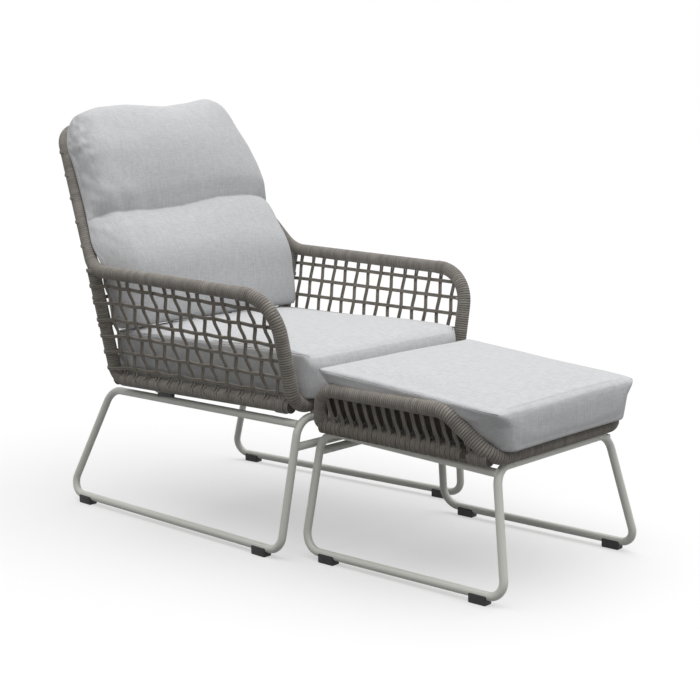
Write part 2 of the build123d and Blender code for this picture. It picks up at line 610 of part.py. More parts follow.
def make_back_cushion(seat_cushion):
    """The back cushion, as a loft of slices from its bottom edge to its top edge."""
    rake = math.atan2(BACK_TOP_Y - ARM_REAR_Y, BACK_TOP_Z - ARM_REAR_Z)
    up = Vector(0, math.sin(rake), math.cos(rake))
    behind = WRAP_R + BACK_GAP
    lower_rear = Vector(0, SEAT_REAR_Y - behind, 0)
    elbow = Vector(0, ARM_REAR_Y, ARM_REAR_Z) - Vector(0, math.cos(rake), -math.sin(rake)) * behind
    under = seat_cushion & Pos(0, SEAT_REAR_Y, SEAT_REAR_Z) * Box(4 * SEAT_HALF, 2 * BACK_FOOT, 4 * SEAT_THICK_REAR)
    bottom = under.bounding_box().max.Z + CLEAR
    slices = [  # height up the back from its bottom or from the elbow, tilt, thickness, crown, inset of the side
        ("low", 0.0, 0.0, 62.0, 3.0, 44.0),
        ("low", 12.0, 0.0, 74.0, 9.0, 30.0),
        ("low", 60.0, 6.0, 66.0, 20.0, 16.0),
        ("high", 0.0, 20.0, 48.0, 28.0, 0.0),
        ("high", 100.0, 30.0, 52.0, 20.0, 4.0),
        ("high", 138.0, 36.7, 45.0, 8.0, 22.0),
        ("high", 166.0, 36.7, 62.0, 20.0, 22.0),
        ("high", 225.0, 36.7, 82.0, 26.0, 26.0),
        ("high", 320.0, 36.7, 102.0, 24.0, 30.0),
        ("high", 385.0, 36.7, 94.0, 18.0, 42.0),
        ("high", 435.0, 36.7, 74.0, 9.0, 56.0),
        ("high", 462.0, 36.7, 48.0, 4.0, 76.0),
    ]
    rings = []
    for part, height, tilt, thick, crown, inset in slices:
        rear = lower_rear + Vector(0, 0, bottom + height) if part == "low" else elbow + up * height
        angle = math.radians(tilt)
        forward = Vector(0, -math.cos(angle), math.sin(angle))
        rings.append(back_slice(rear, forward, thick, crown, BACK_HALF - inset))
    return Solid.make_loft(rings, ruled=True)


def back_slice(rear, forward, thick, crown, half):
    """One slice of the back cushion: flat behind, with rounded front edges and a crowned front."""
    side = Vector(half, 0, 0)
    radius = min(BACK_EDGE_R, thick * 0.45)
    corners = [rear - side, rear + side, rear + side + forward * thick, rear - side + forward * thick]
    right, left = [bend_cut(corners[i - 1], corners[i], corners[(i + 1) % 4], radius) for i in (2, 3)]
    return Wire(
        [
            Edge.make_line(corners[0], corners[1]),
            Edge.make_line(corners[1], right[0]),
            Edge.make_three_point_arc(*right),
            Edge.make_three_point_arc(right[2], (right[2] + left[0]) / 2 + forward * crown, left[0]),
            Edge.make_three_point_arc(*left),
            Edge.make_line(left[2], corners[0]),
        ]
    )


def main():
    os.makedirs("parts", exist_ok=True)
    chair, stool = {}, {}
    make_chair(chair)
    chair["seat_cushion"] = make_seat_cushion()
    chair["back_cushion"] = make_back_cushion(chair["seat_cushion"])
    make_stool(stool)
    stool["stool_cushion"] = make_stool_cushion()
    for nodes, place in ((chair, Pos(0, PAIR_SHIFT, 0)), (stool, Pos(STOOL_X, PAIR_SHIFT, 0))):
        for name, solid in nodes.items():
            export_step(place * solid, f"parts/{name}.step")


main()
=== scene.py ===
"""Lounge chair with its footstool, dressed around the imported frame.

Lengths in the classes are millimetres in the chair's own frame; `spot` turns them into the model's metres.
"""

import json
import logging
import math
from collections.abc import Iterator
from contextlib import contextmanager
from dataclasses import dataclass
from enum import Enum

import bmesh
import bpy
import numpy as np
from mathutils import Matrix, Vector, noise

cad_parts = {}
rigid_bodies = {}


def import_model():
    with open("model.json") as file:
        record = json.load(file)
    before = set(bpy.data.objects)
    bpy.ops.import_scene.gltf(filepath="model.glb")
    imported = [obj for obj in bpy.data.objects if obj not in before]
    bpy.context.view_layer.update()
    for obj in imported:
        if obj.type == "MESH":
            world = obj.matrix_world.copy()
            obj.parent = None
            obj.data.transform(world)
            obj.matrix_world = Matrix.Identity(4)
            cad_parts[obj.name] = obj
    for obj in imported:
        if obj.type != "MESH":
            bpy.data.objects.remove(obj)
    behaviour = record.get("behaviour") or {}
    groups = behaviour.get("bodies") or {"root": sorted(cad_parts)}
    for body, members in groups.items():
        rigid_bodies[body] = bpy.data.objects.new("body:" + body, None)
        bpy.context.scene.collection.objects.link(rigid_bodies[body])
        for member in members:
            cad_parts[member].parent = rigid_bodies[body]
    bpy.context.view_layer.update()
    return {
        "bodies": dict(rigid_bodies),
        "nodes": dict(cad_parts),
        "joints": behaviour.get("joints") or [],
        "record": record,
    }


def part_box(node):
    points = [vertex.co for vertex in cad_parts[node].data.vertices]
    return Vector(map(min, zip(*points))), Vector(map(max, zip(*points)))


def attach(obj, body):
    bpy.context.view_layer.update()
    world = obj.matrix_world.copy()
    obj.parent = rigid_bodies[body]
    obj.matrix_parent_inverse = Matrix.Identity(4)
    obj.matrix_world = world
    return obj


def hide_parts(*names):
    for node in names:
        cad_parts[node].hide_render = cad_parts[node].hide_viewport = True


LOG = logging.getLogger("lounge_chair")
Piece = bpy.types.Object
Socket = bpy.types.NodeSocket

MM = 0.001
PAIR_SHIFT = 216.0  # the model's origin lies this far in front of the chair's own
STOOL_X = -24.0  # the footstool stands this far to the left
TUBE_R = 9.5  # bare tube
WRAP_R = 15.0  # wound tube, as the solids have it
FLOOR_Z = 20.0  # the floor rails' centre lines


class Body(Enum):
    """The bodies that the pieces ride on."""

    CHAIR = "chair"
    SEAT_CUSHION = "seat_cushion"
    BACK_CUSHION = "back_cushion"
    STOOL = "stool"
    STOOL_CUSHION = "stool_cushion"


class Side(Enum):
    """The sides of the chair, as signs of X."""

    LEFT = -1
    RIGHT = 1


# Places and directions


def spot(x: float, y: float, z: float, body: Body = Body.CHAIR) -> Vector:
    """Turns a place in millimetres into the model's metres.

    Args:
        x: Place across, from the middle plane of the chair or the footstool.
        y: Place from front to back, in the chair's own frame.
        z: Height above the floor.
        body: The body that the place belongs to.

    Returns:
        The place in the model.
    """
    across = STOOL_X if body in (Body.STOOL, Body.STOOL_CUSHION) else 0.0
    return Vector((x + across, y + PAIR_SHIFT, z)) * MM


def at_depth(a: Vector, b: Vector, y: float) -> Vector:
    """Finds the point at an own depth in millimetres on the line through a and b."""
    return a.lerp(b, ((y + PAIR_SHIFT) * MM - a.y) / (b.y - a.y))


def at_height(a: Vector, b: Vector, z: float) -> Vector:
    """Finds the point at a height in millimetres on the line through a and b."""
    return a.lerp(b, (z * MM - a.z) / (b.z - a.z))


def turned(start: Vector, towards: Vector, degrees: float) -> Vector:
    """Turns one direction towards another, square to it."""
    angle = math.radians(degrees)
    return towards * math.sin(angle) + start * math.cos(angle)


def out_of_side(upper_rear: Vector, upper_front: Vector, lower_front: Vector, side: Side) -> Vector:
    """Gives the direction that points away from the furniture, square to a side's plane."""
    out = (upper_front - upper_rear).cross(lower_front - upper_front).normalized()
    return out if out.x * side.value > 0 else -out


@dataclass(frozen=True)
class SidePlane:
    """A side's plane, which leans inwards below its upper rail."""

    half: float
    rear: tuple[float, float]
    front: tuple[float, float]
    lean: float

    def place(self, side: Side, point: tuple[float, float], body: Body) -> Vector:
        """Finds the point of the plane at a depth and a height."""
        slope = (self.rear[1] - self.front[1]) / (self.rear[0] - self.front[0])
        half = self.half - self.lean * (self.rear[1] + (point[0] - self.rear[0]) * slope - point[1])
        return spot(side.value * half, *point, body)


# Making and finishing meshes


def clear_selection() -> None:
    """Leaves edit mode and deselects everything."""
    if bpy.context.object and bpy.context.object.mode != "OBJECT":
        bpy.ops.object.mode_set(mode="OBJECT")
    bpy.ops.object.select_all(action="DESELECT")


def linked(name: str, data: bpy.types.ID) -> Piece:
    """Makes an object from its data and links it to the scene."""
    thing = bpy.data.objects.new(name, data)
    bpy.context.collection.objects.link(thing)
    return thing


def take_up(piece: Piece) -> Piece:
    """Selects one piece alone and makes it active."""
    clear_selection()
    piece.select_set(True)
    bpy.context.view_layer.objects.active = piece
    return piece


def begun(name: str) -> Piece:
    """Names the mesh that an operator has just made."""
    piece = bpy.context.object
    piece.name = piece.data.name = name
    return piece


@contextmanager
def editing(piece: Piece) -> Iterator[None]:
    """Edits a piece with its whole mesh selected, and leaves edit mode afterwards."""
    take_up(piece)
    bpy.ops.object.mode_set(mode="EDIT")
    bpy.ops.mesh.select_all(action="SELECT")
    yield
    bpy.ops.object.mode_set(mode="OBJECT")


def settle(piece: Piece) -> Piece:
    """Applies a piece's place, turn and size to its mesh."""
    take_up(piece)
    bpy.ops.object.transform_apply(location=True, rotation=True, scale=True)
    return piece


def smooth(piece: Piece, degrees: float) -> Piece:
    """Shades a piece smooth, apart from edges sharper than an angle."""
    take_up(piece)
    bpy.ops.object.shade_smooth_by_angle(angle=math.radians(degrees))
    return piece


def modified(piece: Piece, kind: str, **settings: object) -> Piece:
    """Adds one modifier with its settings to a piece and applies it."""
    take_up(piece)
    modifier = piece.modifiers.new(kind.lower(), kind)
    for key, value in settings.items():
        setattr(modifier, key, value)
    bpy.ops.object.modifier_apply(modifier=modifier.name)
    return piece


def faced_out(piece: Piece) -> Piece:
    """Points all faces outwards."""
    with editing(piece):
        bpy.ops.mesh.normals_make_consistent(inside=False)
    return piece


def closed(piece: Piece) -> Piece:
    """Merges doubles, closes open ends and points all faces outwards."""
    with editing(piece):
        bpy.ops.mesh.remove_doubles(threshold=0.01 * MM)
        bpy.ops.mesh.select_all(action="DESELECT")
        bpy.ops.mesh.select_mode(type="EDGE")
        bpy.ops.mesh.select_non_manifold(extend=False)
        bpy.ops.mesh.fill_holes(sides=0)
    return faced_out(piece)


def joined(pieces: list[Piece], name: str) -> Piece:
    """Joins several meshes into one named piece."""
    take_up(pieces[0])
    for piece in pieces[1:]:
        piece.select_set(True)
    bpy.ops.object.join()
    return begun(name)


# Finishes


def linear(colour: str) -> tuple[float, float, float, float]:
    """Turns an sRGB hex colour into linear values.

    Args:
        colour: The colour, as "#rrggbb".

    Returns:
        Red, green, blue and a full alpha.
    """
    parts = [int(colour[i : i + 2], 16) / 255 for i in (1, 3, 5)]
    values = [p / 12.92 if p <= 0.04045 else ((p + 0.055) / 1.055) ** 2.4 for p in parts]
    return values[0], values[1], values[2], 1.0


class Nodes:
    """The node tree of one material or of the world."""

    def __init__(self, tree: bpy.types.NodeTree) -> None:
        """Starts from an empty tree."""
        self.tree = tree
        tree.nodes.clear()

    def add(self, kind: str, settings: dict | None = None, **links: object) -> bpy.types.Node:
        """Adds a node with its settings and links.

        Args:
            kind: The node's type.
            settings: Properties of the node, or of its sockets where the key starts with "in:".
            **links: Input sockets by name, with underscores for spaces, and the socket that feeds each.

        Returns:
            The node.
        """
        node = self.tree.nodes.new(kind)
        for key, value in (settings or {}).items():
            if key.startswith("in:"):
                socket = key[3:]
                node.inputs[int(socket) if socket.isdigit() else socket].default_value = value
            else:
                setattr(node, key, value)
        for key, source in links.items():
            socket = key.replace("_", " ").strip()
            self.tree.links.new(source, node.inputs[int(socket) if socket.isdigit() else socket])
        return node

    def place(self) -> Socket:
        """Adds the piece's own coordinates, in metres."""
        return self.add("ShaderNodeTexCoord").outputs["Object"]

    def noise(self, place: Socket, scale: float, detail: float) -> Socket:
        """Adds soft noise; its scale is in waves to a metre."""
        settings = {"in:Scale": scale, "in:Detail": detail}
        return self.add("ShaderNodeTexNoise", settings, Vector=place).outputs[0]

    def number(self, operation: str, *inputs: Socket | float, clamp: bool = False) -> Socket:
        """Adds one operation on sockets and constants."""
        settings = {"operation": operation, "use_clamp": clamp}
        settings.update({f"in:{k}": value for k, value in enumerate(inputs) if isinstance(value, float)})
        links = {f"_{k}": value for k, value in enumerate(inputs) if not isinstance(value, float)}
        return self.add("ShaderNodeMath", settings, **links).outputs[0]

    def fitted(self, value: Socket, **limits: float) -> Socket:
        """Fits a value from one range into another; the limits are From_Min, From_Max, To_Min and To_Max."""
        settings = {f"in:{key.replace('_', ' ')}": limit for key, limit in limits.items()}
        return self.add("ShaderNodeMapRange", settings, Value=value).outputs[0]

    def mixed(self, share: Socket, low: Socket | str, high: Socket | str) -> Socket:
        """Mixes two colours, each a socket or a hex colour."""
        settings: dict[str, object] = {"data_type": "RGBA"}
        links = {"_0": share}
        for key, colour in (("6", low), ("7", high)):
            if isinstance(colour, str):
                settings["in:" + key] = linear(colour)
            else:
                links["_" + key] = colour
        return self.add("ShaderNodeMix", settings, **links).outputs[2]

    def surface(self, bump: tuple[Socket, float, float], settings: dict, **links: Socket) -> None:
        """Ends a material.

        Args:
            bump: The height, the strength and the depth in millimetres.
            settings: The shader's constant values.
            **links: The sockets that feed the shader.
        """
        height, strength, depth = bump
        relief = self.add("ShaderNodeBump", {"in:Strength": strength, "in:Distance": depth * MM}, Height=height)
        shader = self.add("ShaderNodeBsdfPrincipled", settings, Normal=relief.outputs[0], **links)
        self.add("ShaderNodeOutputMaterial", Surface=shader.outputs[0])

    def seen(self) -> Socket:
        """Gives 1 to the rays that show a surface to the camera, and 0 to the light that it throws back."""
        rays = self.add("ShaderNodeLightPath").outputs
        seen = self.number("ADD", rays["Is Camera Ray"], rays["Is Glossy Ray"])
        return self.number("ADD", seen, rays["Is Transmission Ray"], clamp=True)


@dataclass(frozen=True)
class Finish:
    """A surface finish: its name, its slot in the record and how its nodes are built."""

    name: str
    slot: str
    colour: str

    def material(self) -> bpy.types.Material:
        """Returns the finish's material, made at its first use."""
        made = bpy.data.materials.get(self.name)
        if made:
            return made
        made = bpy.data.materials.new(self.name)
        made.use_nodes = True
        self.build(Nodes(made.node_tree))
        made.diffuse_color = linear(self.colour)
        return made

    def build(self, nodes: Nodes) -> None:
        """Builds the finish's nodes."""
        raise NotImplementedError

    def dress(self, piece: Piece, body: Body, *replaces: str) -> Piece:
        """Puts the finish on a piece and sets the piece on its body.

        Args:
            piece: The piece, in place.
            body: The body that it rides on.
            *replaces: The solids that it stands for.

        Returns:
            The piece.
        """
        piece.data.materials.clear()
        piece.data.materials.append(self.material())
        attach(piece, body.value)
        if replaces:
            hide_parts(*replaces)
        LOG.info("%s on %s, %d faces", piece.name, body.value, len(piece.data.polygons))
        return piece


@dataclass(frozen=True)
class BraidedRope(Finish):
    """Solution-dyed polyester rope, braided flat: matt, with a fine diagonal lay and a faint thread sheen."""

    dark: str = "#7b7670"
    light: str = "#b1aba3"
    # Painted shade for the valley between two turns of the winding
    line: str = "#57534d"
    wound: bool = True

    def build(self, nodes: Nodes) -> None:
        """Colours that vary from turn to turn, a 1.3 mm braid and its bump."""
        place = nodes.place()
        speck = nodes.noise(place, 760.0, 2.0)
        patch = nodes.noise(place, 38.0, 3.0)
        share = nodes.number("MULTIPLY_ADD", patch, 0.9, nodes.number("MULTIPLY_ADD", speck, 0.8, -0.4))
        colour = nodes.mixed(share, self.dark, self.light)
        if self.wound:
            colour = self.draw_turns(nodes, colour)
        sheen = {"in:Sheen Weight": 0.15, "in:Sheen Roughness": 0.5}
        settings = {"in:Roughness": 0.86, "in:Specular IOR Level": 0.25, **sheen}
        nodes.surface((speck, 0.4, 0.6), settings, Base_Color=colour)

    def draw_turns(self, nodes: Nodes, colour: Socket) -> Socket:
        """Gives every turn its own tone and paints shade on the line between two turns.

        Args:
            nodes: The material's nodes.
            colour: The rope's colour so far.

        Returns:
            The colour with its turns.
        """
        lay = nodes.add("ShaderNodeUVMap", {"uv_map": "lay"}).outputs[0]
        across = nodes.add("ShaderNodeSeparateXYZ", None, Vector=lay).outputs["Y"]
        turn = nodes.number("FLOOR", across)
        chance = nodes.add("ShaderNodeTexWhiteNoise", {"noise_dimensions": "1D"}, W=turn).outputs["Value"]
        tone = nodes.fitted(chance, To_Min=0.86, To_Max=1.1)
        toned = nodes.add("ShaderNodeVectorMath", {"operation": "SCALE"}, _0=colour, Scale=tone).outputs[0]
        # Painted shade: darker near the valley between two turns.
        edge = nodes.fitted(nodes.number("PINGPONG", across, 0.5), From_Min=0.02, From_Max=0.16)
        return nodes.mixed(edge, self.line, toned)


@dataclass(frozen=True)
class OneColour(Finish):
    """A surface of one colour, with a fine grain in its bump and unevenness in its gloss.

    The grain is its scale, the bump's strength and its depth in millimetres; the wear is a scale and a detail.
    """

    grain: tuple[float, float, float]
    wear: tuple[float, float]
    gloss: tuple[float, float]

    def build(self, nodes: Nodes) -> None:
        """One colour, the grain and the wear."""
        place = nodes.place()
        scale, strength, depth = self.grain
        gloss = nodes.fitted(nodes.noise(place, *self.wear), To_Min=self.gloss[0], To_Max=self.gloss[1])
        grain = nodes.noise(place, scale, 1.0)
        nodes.surface((grain, strength, depth), {"in:Base Color": linear(self.colour)}, Roughness=gloss)


@dataclass(frozen=True)
class WovenCloth(Finish):
    """Olefin upholstery cloth, plain weave in mixed light greys: matt, softly mottled along its threads."""

    dark: str = "#c3c4c6"
    light: str = "#dbdcdd"
    thread_mm: float = 1.4

    def build(self, nodes: Nodes) -> None:
        """Threads 1.4 mm apart, drawn coarser than the real 0.7 mm so that they show, over a soft mottle."""
        place = nodes.place()
        scale = 1000.0 / self.thread_mm / 2
        threads = []
        for stretch in ((1.0, 0.12, 0.12), (0.12, 1.0, 1.0)):
            stretched = nodes.add("ShaderNodeMapping", {"in:Scale": stretch}, Vector=place).outputs[0]
            threads.append(nodes.noise(stretched, scale, 2.0))
        threads = nodes.number("ADD", *threads)
        mottled = nodes.number("MULTIPLY_ADD", nodes.noise(place, 140.0, 4.0), 0.3, threads)
        share = nodes.fitted(mottled, From_Min=0.75, From_Max=1.55)
        sheen = {"in:Sheen Weight": 0.12, "in:Sheen Roughness": 0.6}
        settings = {"in:Roughness": 0.92, "in:Specular IOR Level": 0.2, **sheen}
        nodes.surface((threads, 0.25, 0.6), settings, Base_Color=nodes.mixed(share, self.dark, self.light))


@dataclass(frozen=True)
class ElasticWebbing(Finish):
    """Rubberised polyester webbing: nearly black, ribbed along its length."""

    dark: str = "#1c1b1b"
    light: str = "#343231"

    def build(self, nodes: Nodes) -> None:
        """Ribs 3 mm apart across both strap directions."""
        settings = {"in:Scale": 53.0, "in:Distortion": 0.4, "bands_direction": "DIAGONAL"}
        ribs = nodes.add("ShaderNodeTexWave", settings, Vector=nodes.place()).outputs["Fac"]
        settings = {"in:Roughness": 0.8, "in:Specular IOR Level": 0.3}
        nodes.surface((ribs, 0.4, 0.5), settings, Base_Color=nodes.mixed(ribs, self.dark, self.light))


ROPE = BraidedRope("braided_polyester_rope", "rope", "#958d83")
NET_CORD = BraidedRope("braided_polyester_cord", "rope", "#8a8379", "#736d65", "#a39c93", wound=False)
# Painted shade: a darker copy of the cord, used for the inner run of the stool's wing cords and for the dark
# slot marks on the side nets' lower windings.
SHADE_CORD = BraidedRope("soiled_polyester_cord", "rope", "#544f48", "#47423c", "#625c54", wound=False)
# Sewing thread for the seams and stitches; its darker grey along the seam is also painted shade for the groove.
THREAD = BraidedRope("twisted_sewing_thread", "cushion_fabric", "#858483", "#777675", "#929190", wound=False)
PAINT = OneColour(  # satin polyester powder coat with a very fine orange peel
    "powder_coated_steel",
    "frame_paint",
    "#e4e4dd",
    grain=(420.0, 0.08, 0.5),
    wear=(9.0, 2.0),
    gloss=(0.38, 0.5),
)
PLASTIC = OneColour(  # injection-moulded polypropylene with a spark-eroded grain
    "moulded_polypropylene",
    "black_plastic",
    "#1d1d1d",
    grain=(1200.0, 0.2, 0.3),
    wear=(60.0, 4.0),
    gloss=(0.45, 0.7),
)
CLOTH = WovenCloth("woven_olefin_cloth", "cushion_fabric", "#c8c7c5")
WEBBING = ElasticWebbing("elastic_webbing", "webbing", "#262524")


# Tubes, windings and cords


@dataclass(frozen=True)
class Route:
    """A tube's centre line in metres: straight runs joined by tangent arcs, whose radii are in millimetres."""

    points: tuple[Vector, ...]
    bends: tuple[float, ...] = ()

    def line(self, name: str) -> Piece:
        """Draws the centre line as a curve whose arcs have their own handles.

        Args:
            name: The curve's name.

        Returns:
            The curve object.
        """
        knots: list[tuple[Vector, Vector]] = []
        stops = [self.points[0]]
        for index, radius in enumerate(self.bends, start=1):
            before, corner, after = self.points[index - 1 : index + 2]
            inward, outward = (before - corner).normalized(), (after - corner).normalized()
            half = inward.angle(outward) / 2
            reach = radius * MM / math.tan(half)
            pull = 4 / 3 * math.tan((math.pi - 2 * half) / 4) * radius * MM
            start, end = corner + inward * reach, corner + outward * reach
            knots.append((start - inward * pull, end - outward * pull))
            stops += [start, end]
        stops.append(self.points[-1])
        data = bpy.data.curves.new(name, "CURVE")
        data.dimensions = "3D"
        data.resolution_u = 14
        spline = data.splines.new("BEZIER")
        spline.bezier_points.add(len(stops) - 1)
        for index, (stop, knot) in enumerate(zip(stops, spline.bezier_points)):
            knot.handle_left_type = knot.handle_right_type = "FREE"
            knot.co = stop
            if index % 2 == 0:
                knot.handle_right = stop.lerp(stops[index + 1], 1 / 3)
                knot.handle_left = knots[index // 2 - 1][1] if index else stop
            else:
                knot.handle_left = stop.lerp(stops[index - 1], 1 / 3)
                knot.handle_right = knots[index // 2][0] if index // 2 < len(knots) else stop
        return linked(name, data)


def round_tube(name: str, route: Route) -> Piece:
    """Makes a smooth round tube along a route.

    Args:
        name: The piece's name.
        route: The centre line.

    Returns:
        The tube as a mesh.
    """
    tube = route.line(name)
    tube.data.bevel_depth = TUBE_R * MM
    tube.data.bevel_resolution = 6
    tube.data.use_fill_caps = True
    take_up(tube)
    bpy.ops.object.convert(target="MESH")
    return smooth(closed(bpy.context.object), 50.0)


@dataclass(frozen=True)
class Winding:
    """Rope wound turn by turn round a tube.

    The section is a row of places across one turn, as shares of the pitch and of the depth below the crown.
    """

    pitch: float
    depth: float
    radius: float
    sides: int = 18
    section: tuple[tuple[float, float], ...] = (
        (0.11, 0.44),
        (0.32, 0.06),
        (0.68, 0.06),
        (0.89, 0.44),
        (1.0, 1.0),
    )

    def wind(self, name: str, route: Route) -> Piece:
        """Winds the rope along a route: one turn is modelled, repeated and bent along the centre line.

        Args:
            name: The piece's name.
            route: The tube's centre line.

        Returns:
            The winding as a mesh.
        """
        guide = route.line(name + "_line")
        length = guide.data.splines[0].calc_length()
        turns = max(1, round(length / (self.pitch * MM)))
        pitch = length / turns
        reach, size = 0.0, self.radius - self.depth
        clear_selection()
        bpy.ops.mesh.primitive_circle_add(vertices=self.sides, radius=size * MM)
        turn = begun(name)
        turn.rotation_euler = (0.0, math.pi / 2, 0.0)
        with editing(settle(turn)):
            for share, drop in self.section:
                step = ((share - reach) * pitch, 0.0, 0.0)
                wide = self.radius - self.depth * drop
                bpy.ops.mesh.extrude_region_move(TRANSFORM_OT_translate={"value": step})
                bpy.ops.transform.resize(value=(1.0, wide / size, wide / size))
                reach, size = share, wide
        self._chart(turn, pitch)
        modified(
            turn,
            "ARRAY",
            count=turns,
            use_relative_offset=False,
            use_constant_offset=True,
            constant_offset_displace=(pitch, 0.0, 0.0),
            use_merge_vertices=True,
            merge_threshold=0.1 * MM,
            offset_v=1.0,
        )
        modified(turn, "CURVE", object=guide)
        bpy.data.objects.remove(guide)
        return smooth(closed(turn), 80.0)

    def _chart(self, turn: Piece, pitch: float) -> None:
        """Gives one turn a map: along the rope, and across it, in widths of the rope."""
        mesh = turn.data
        chart = mesh.uv_layers.new(name="lay").data
        for face in mesh.polygons:
            places = [mesh.vertices[mesh.loops[corner].vertex_index].co for corner in face.loop_indices]
            angles = [math.atan2(place.z, place.y) % (2 * math.pi) for place in places]
            wraps = max(angles) - min(angles) > math.pi
            for corner, place, angle in zip(face.loop_indices, places, angles):
                angle += 2 * math.pi if wraps and angle < math.pi else 0.0
                chart[corner].uv = (angle * self.radius * MM / pitch, place.x / pitch)


FINE_WINDING = Winding(pitch=5.6, depth=0.6, radius=16.2)
BOLD_WINDING = Winding(pitch=5.8, depth=1.5, radius=17.1)
COLLAR_WINDING = Winding(pitch=6.2, depth=1.4, radius=18.6)


def wound(winding: Winding, name: str, route: Route, body: Body, *replaces: str) -> None:
    """Builds a wound tube and sets it on its body."""
    ROPE.dress(winding.wind(name, route), body, *replaces)


def bare(name: str, route: Route, body: Body, solid: str) -> None:
    """Builds a painted tube in the place of its solid."""
    PAINT.dress(round_tube(name, route), body, solid)


class CordBundle:
    """Many cords that become one mesh."""

    def __init__(self, name: str, radius: float, rounding: int = 2, steps: int = 4) -> None:
        """Starts an empty bundle of cords.

        Args:
            name: The piece's name.
            radius: A cord's radius in millimetres.
            rounding: How finely its section is rounded.
            steps: Steps between two of its places.
        """
        self.data = bpy.data.curves.new(name, "CURVE")
        self.data.dimensions = "3D"
        self.data.bevel_depth = radius * MM
        self.data.bevel_resolution = rounding
        self.data.resolution_u = steps
        self.data.use_fill_caps = True
        self.name = name

    def lay(self, places: list[Vector]) -> None:
        """Lays one cord smoothly through places in metres."""
        spline = self.data.splines.new("BEZIER")
        spline.bezier_points.add(len(places) - 1)
        for knot, place in zip(spline.bezier_points, places):
            knot.co = place
            knot.handle_left_type = knot.handle_right_type = "AUTO"

    def mesh(self) -> Piece:
        """Turns the bundle into a mesh."""
        take_up(linked(self.name, self.data))
        bpy.ops.object.convert(target="MESH")
        return smooth(faced_out(bpy.context.object), 60.0)


@dataclass(frozen=True)
class Net:
    """A woven net of doubled cords: uprights and cross cords that pass over and under each other.

    The grid holds the crossings row by row from the top, and its outer places lie on the tubes' centre lines.
    """

    name: str
    grid: tuple[tuple[Vector, ...], ...]
    outward: Vector
    cord_radius: float = 2.5
    weave: float = 2.1  # how far a cord passes over or under another
    spread: float = 2.7  # from an upright's middle to each of its two cords
    top_spread: float = 4.2
    foot_spread: float = 0.8  # the share of the spread that is left at the foot
    cross_spread: float = 2.1
    end_spread: float = 2.3
    hook: bool = True  # whether the uprights' feet go into the lower winding
    wraps: tuple[bool, bool] = (True, False)  # at which ends a cross cord goes round the tube
    wrap_reach: float = 16.3
    wrap_path: tuple[int, ...] = (100, 70, 40, 10, -20, -50)
    foot_path: tuple[tuple[int, float], ...] = ((-84, 19.0), (-60, 17.4), (-38, 14.0))  # angle and reach
    slot_path: tuple[tuple[int, float], ...] = ((-52, 3.0), (-34, 6.0), (-14, 9.5))  # angle and shift sideways
    slot_reach: float = 15.9
    slot_radius: float = 1.0

    def make(self) -> Piece:
        """Lays all the cords and returns them as one mesh."""
        bundle = CordBundle(self.name, self.cord_radius)
        for lay, count in ((self._upright, len(self.grid[0])), (self._cross, len(self.grid))):
            for index in range(1, count - 1):
                for half in (-1, 1):
                    bundle.lay(lay(index, half))
        return bundle.mesh()

    def slots(self) -> Piece:
        """Lays painted shadows: short dark cords on the lower winding where the uprights' feet part its turns.
        """
        bundle = CordBundle(f"{self.name}_slots", self.slot_radius, rounding=1, steps=2)
        for column in range(1, len(self.grid[0]) - 1):
            foot, down, along = self._foot(column)
            places = []
            for angle, shift in self.slot_path:
                reach = turned(self.outward, down, angle) * self.slot_reach
                places.append(foot + (reach + along * shift) * MM)
            bundle.lay(places)
        return bundle.mesh()

    def _over(self, row: int, column: int) -> float:
        """Returns 1 where the upright lies outside at a crossing, and -1 where it lies inside."""
        return 1.0 if (row + column) % 2 == 0 else -1.0

    def _foot(self, column: int) -> tuple[Vector, Vector, Vector]:
        """Gives an upright's foot, the upright's direction there and the lower tube's."""
        low = self.grid[-1]
        down = low[column] - self.grid[-2][column]
        return low[column], down.normalized(), (low[column + 1] - low[column - 1]).normalized()

    def _upright(self, column: int, half: int) -> list[Vector]:
        """Places of one of an upright's two cords, from the upper tube to the lower one."""
        places = []
        for row, line in enumerate(self.grid):
            along = (line[column + 1] - line[column - 1]).normalized()
            apart = self.top_spread if row == 0 else self.spread
            lift = 0.0 if row in (0, len(self.grid) - 1) else self.weave * self._over(row, column)
            places.append(line[column] + along * apart * half * MM + self.outward * lift * MM)
        if self.hook:
            end = places.pop()
            _, down, along = self._foot(column)
            shift = along * (half * self.spread * self.foot_spread)
            for angle, reach in self.foot_path:
                places.append(end + (turned(self.outward, down, angle) * reach + shift) * MM)
        return places

    def _cross(self, row: int, half: int) -> list[Vector]:
        """Places of one of a cross cord's two halves, from the rear or left tube to the other one."""
        places = []
        line = self.grid[row]
        last = len(line) - 1
        for column, here in enumerate(line):
            down = (self.grid[row + 1][column] - self.grid[row - 1][column]).normalized()
            lift = 0.0 if column in (0, last) else -self.weave * self._over(row, column)
            apart = self.end_spread if column == last else self.cross_spread
            places.append(here + down * apart * half * MM + self.outward * lift * MM)
        if self.wraps[0]:
            end = places.pop(0)
            places = self._turns(end, (line[0] - line[1]).normalized())[::-1] + places
        if self.wraps[1]:
            end = places.pop()
            places += self._turns(end, (line[-1] - line[-2]).normalized())
        return places

    def _turns(self, end: Vector, away: Vector) -> list[Vector]:
        """Places of a cord that arrives in a direction and goes round the outside of the tube at its end."""
        return [end + turned(away, self.outward, angle) * self.wrap_reach * MM for angle in self.wrap_path]


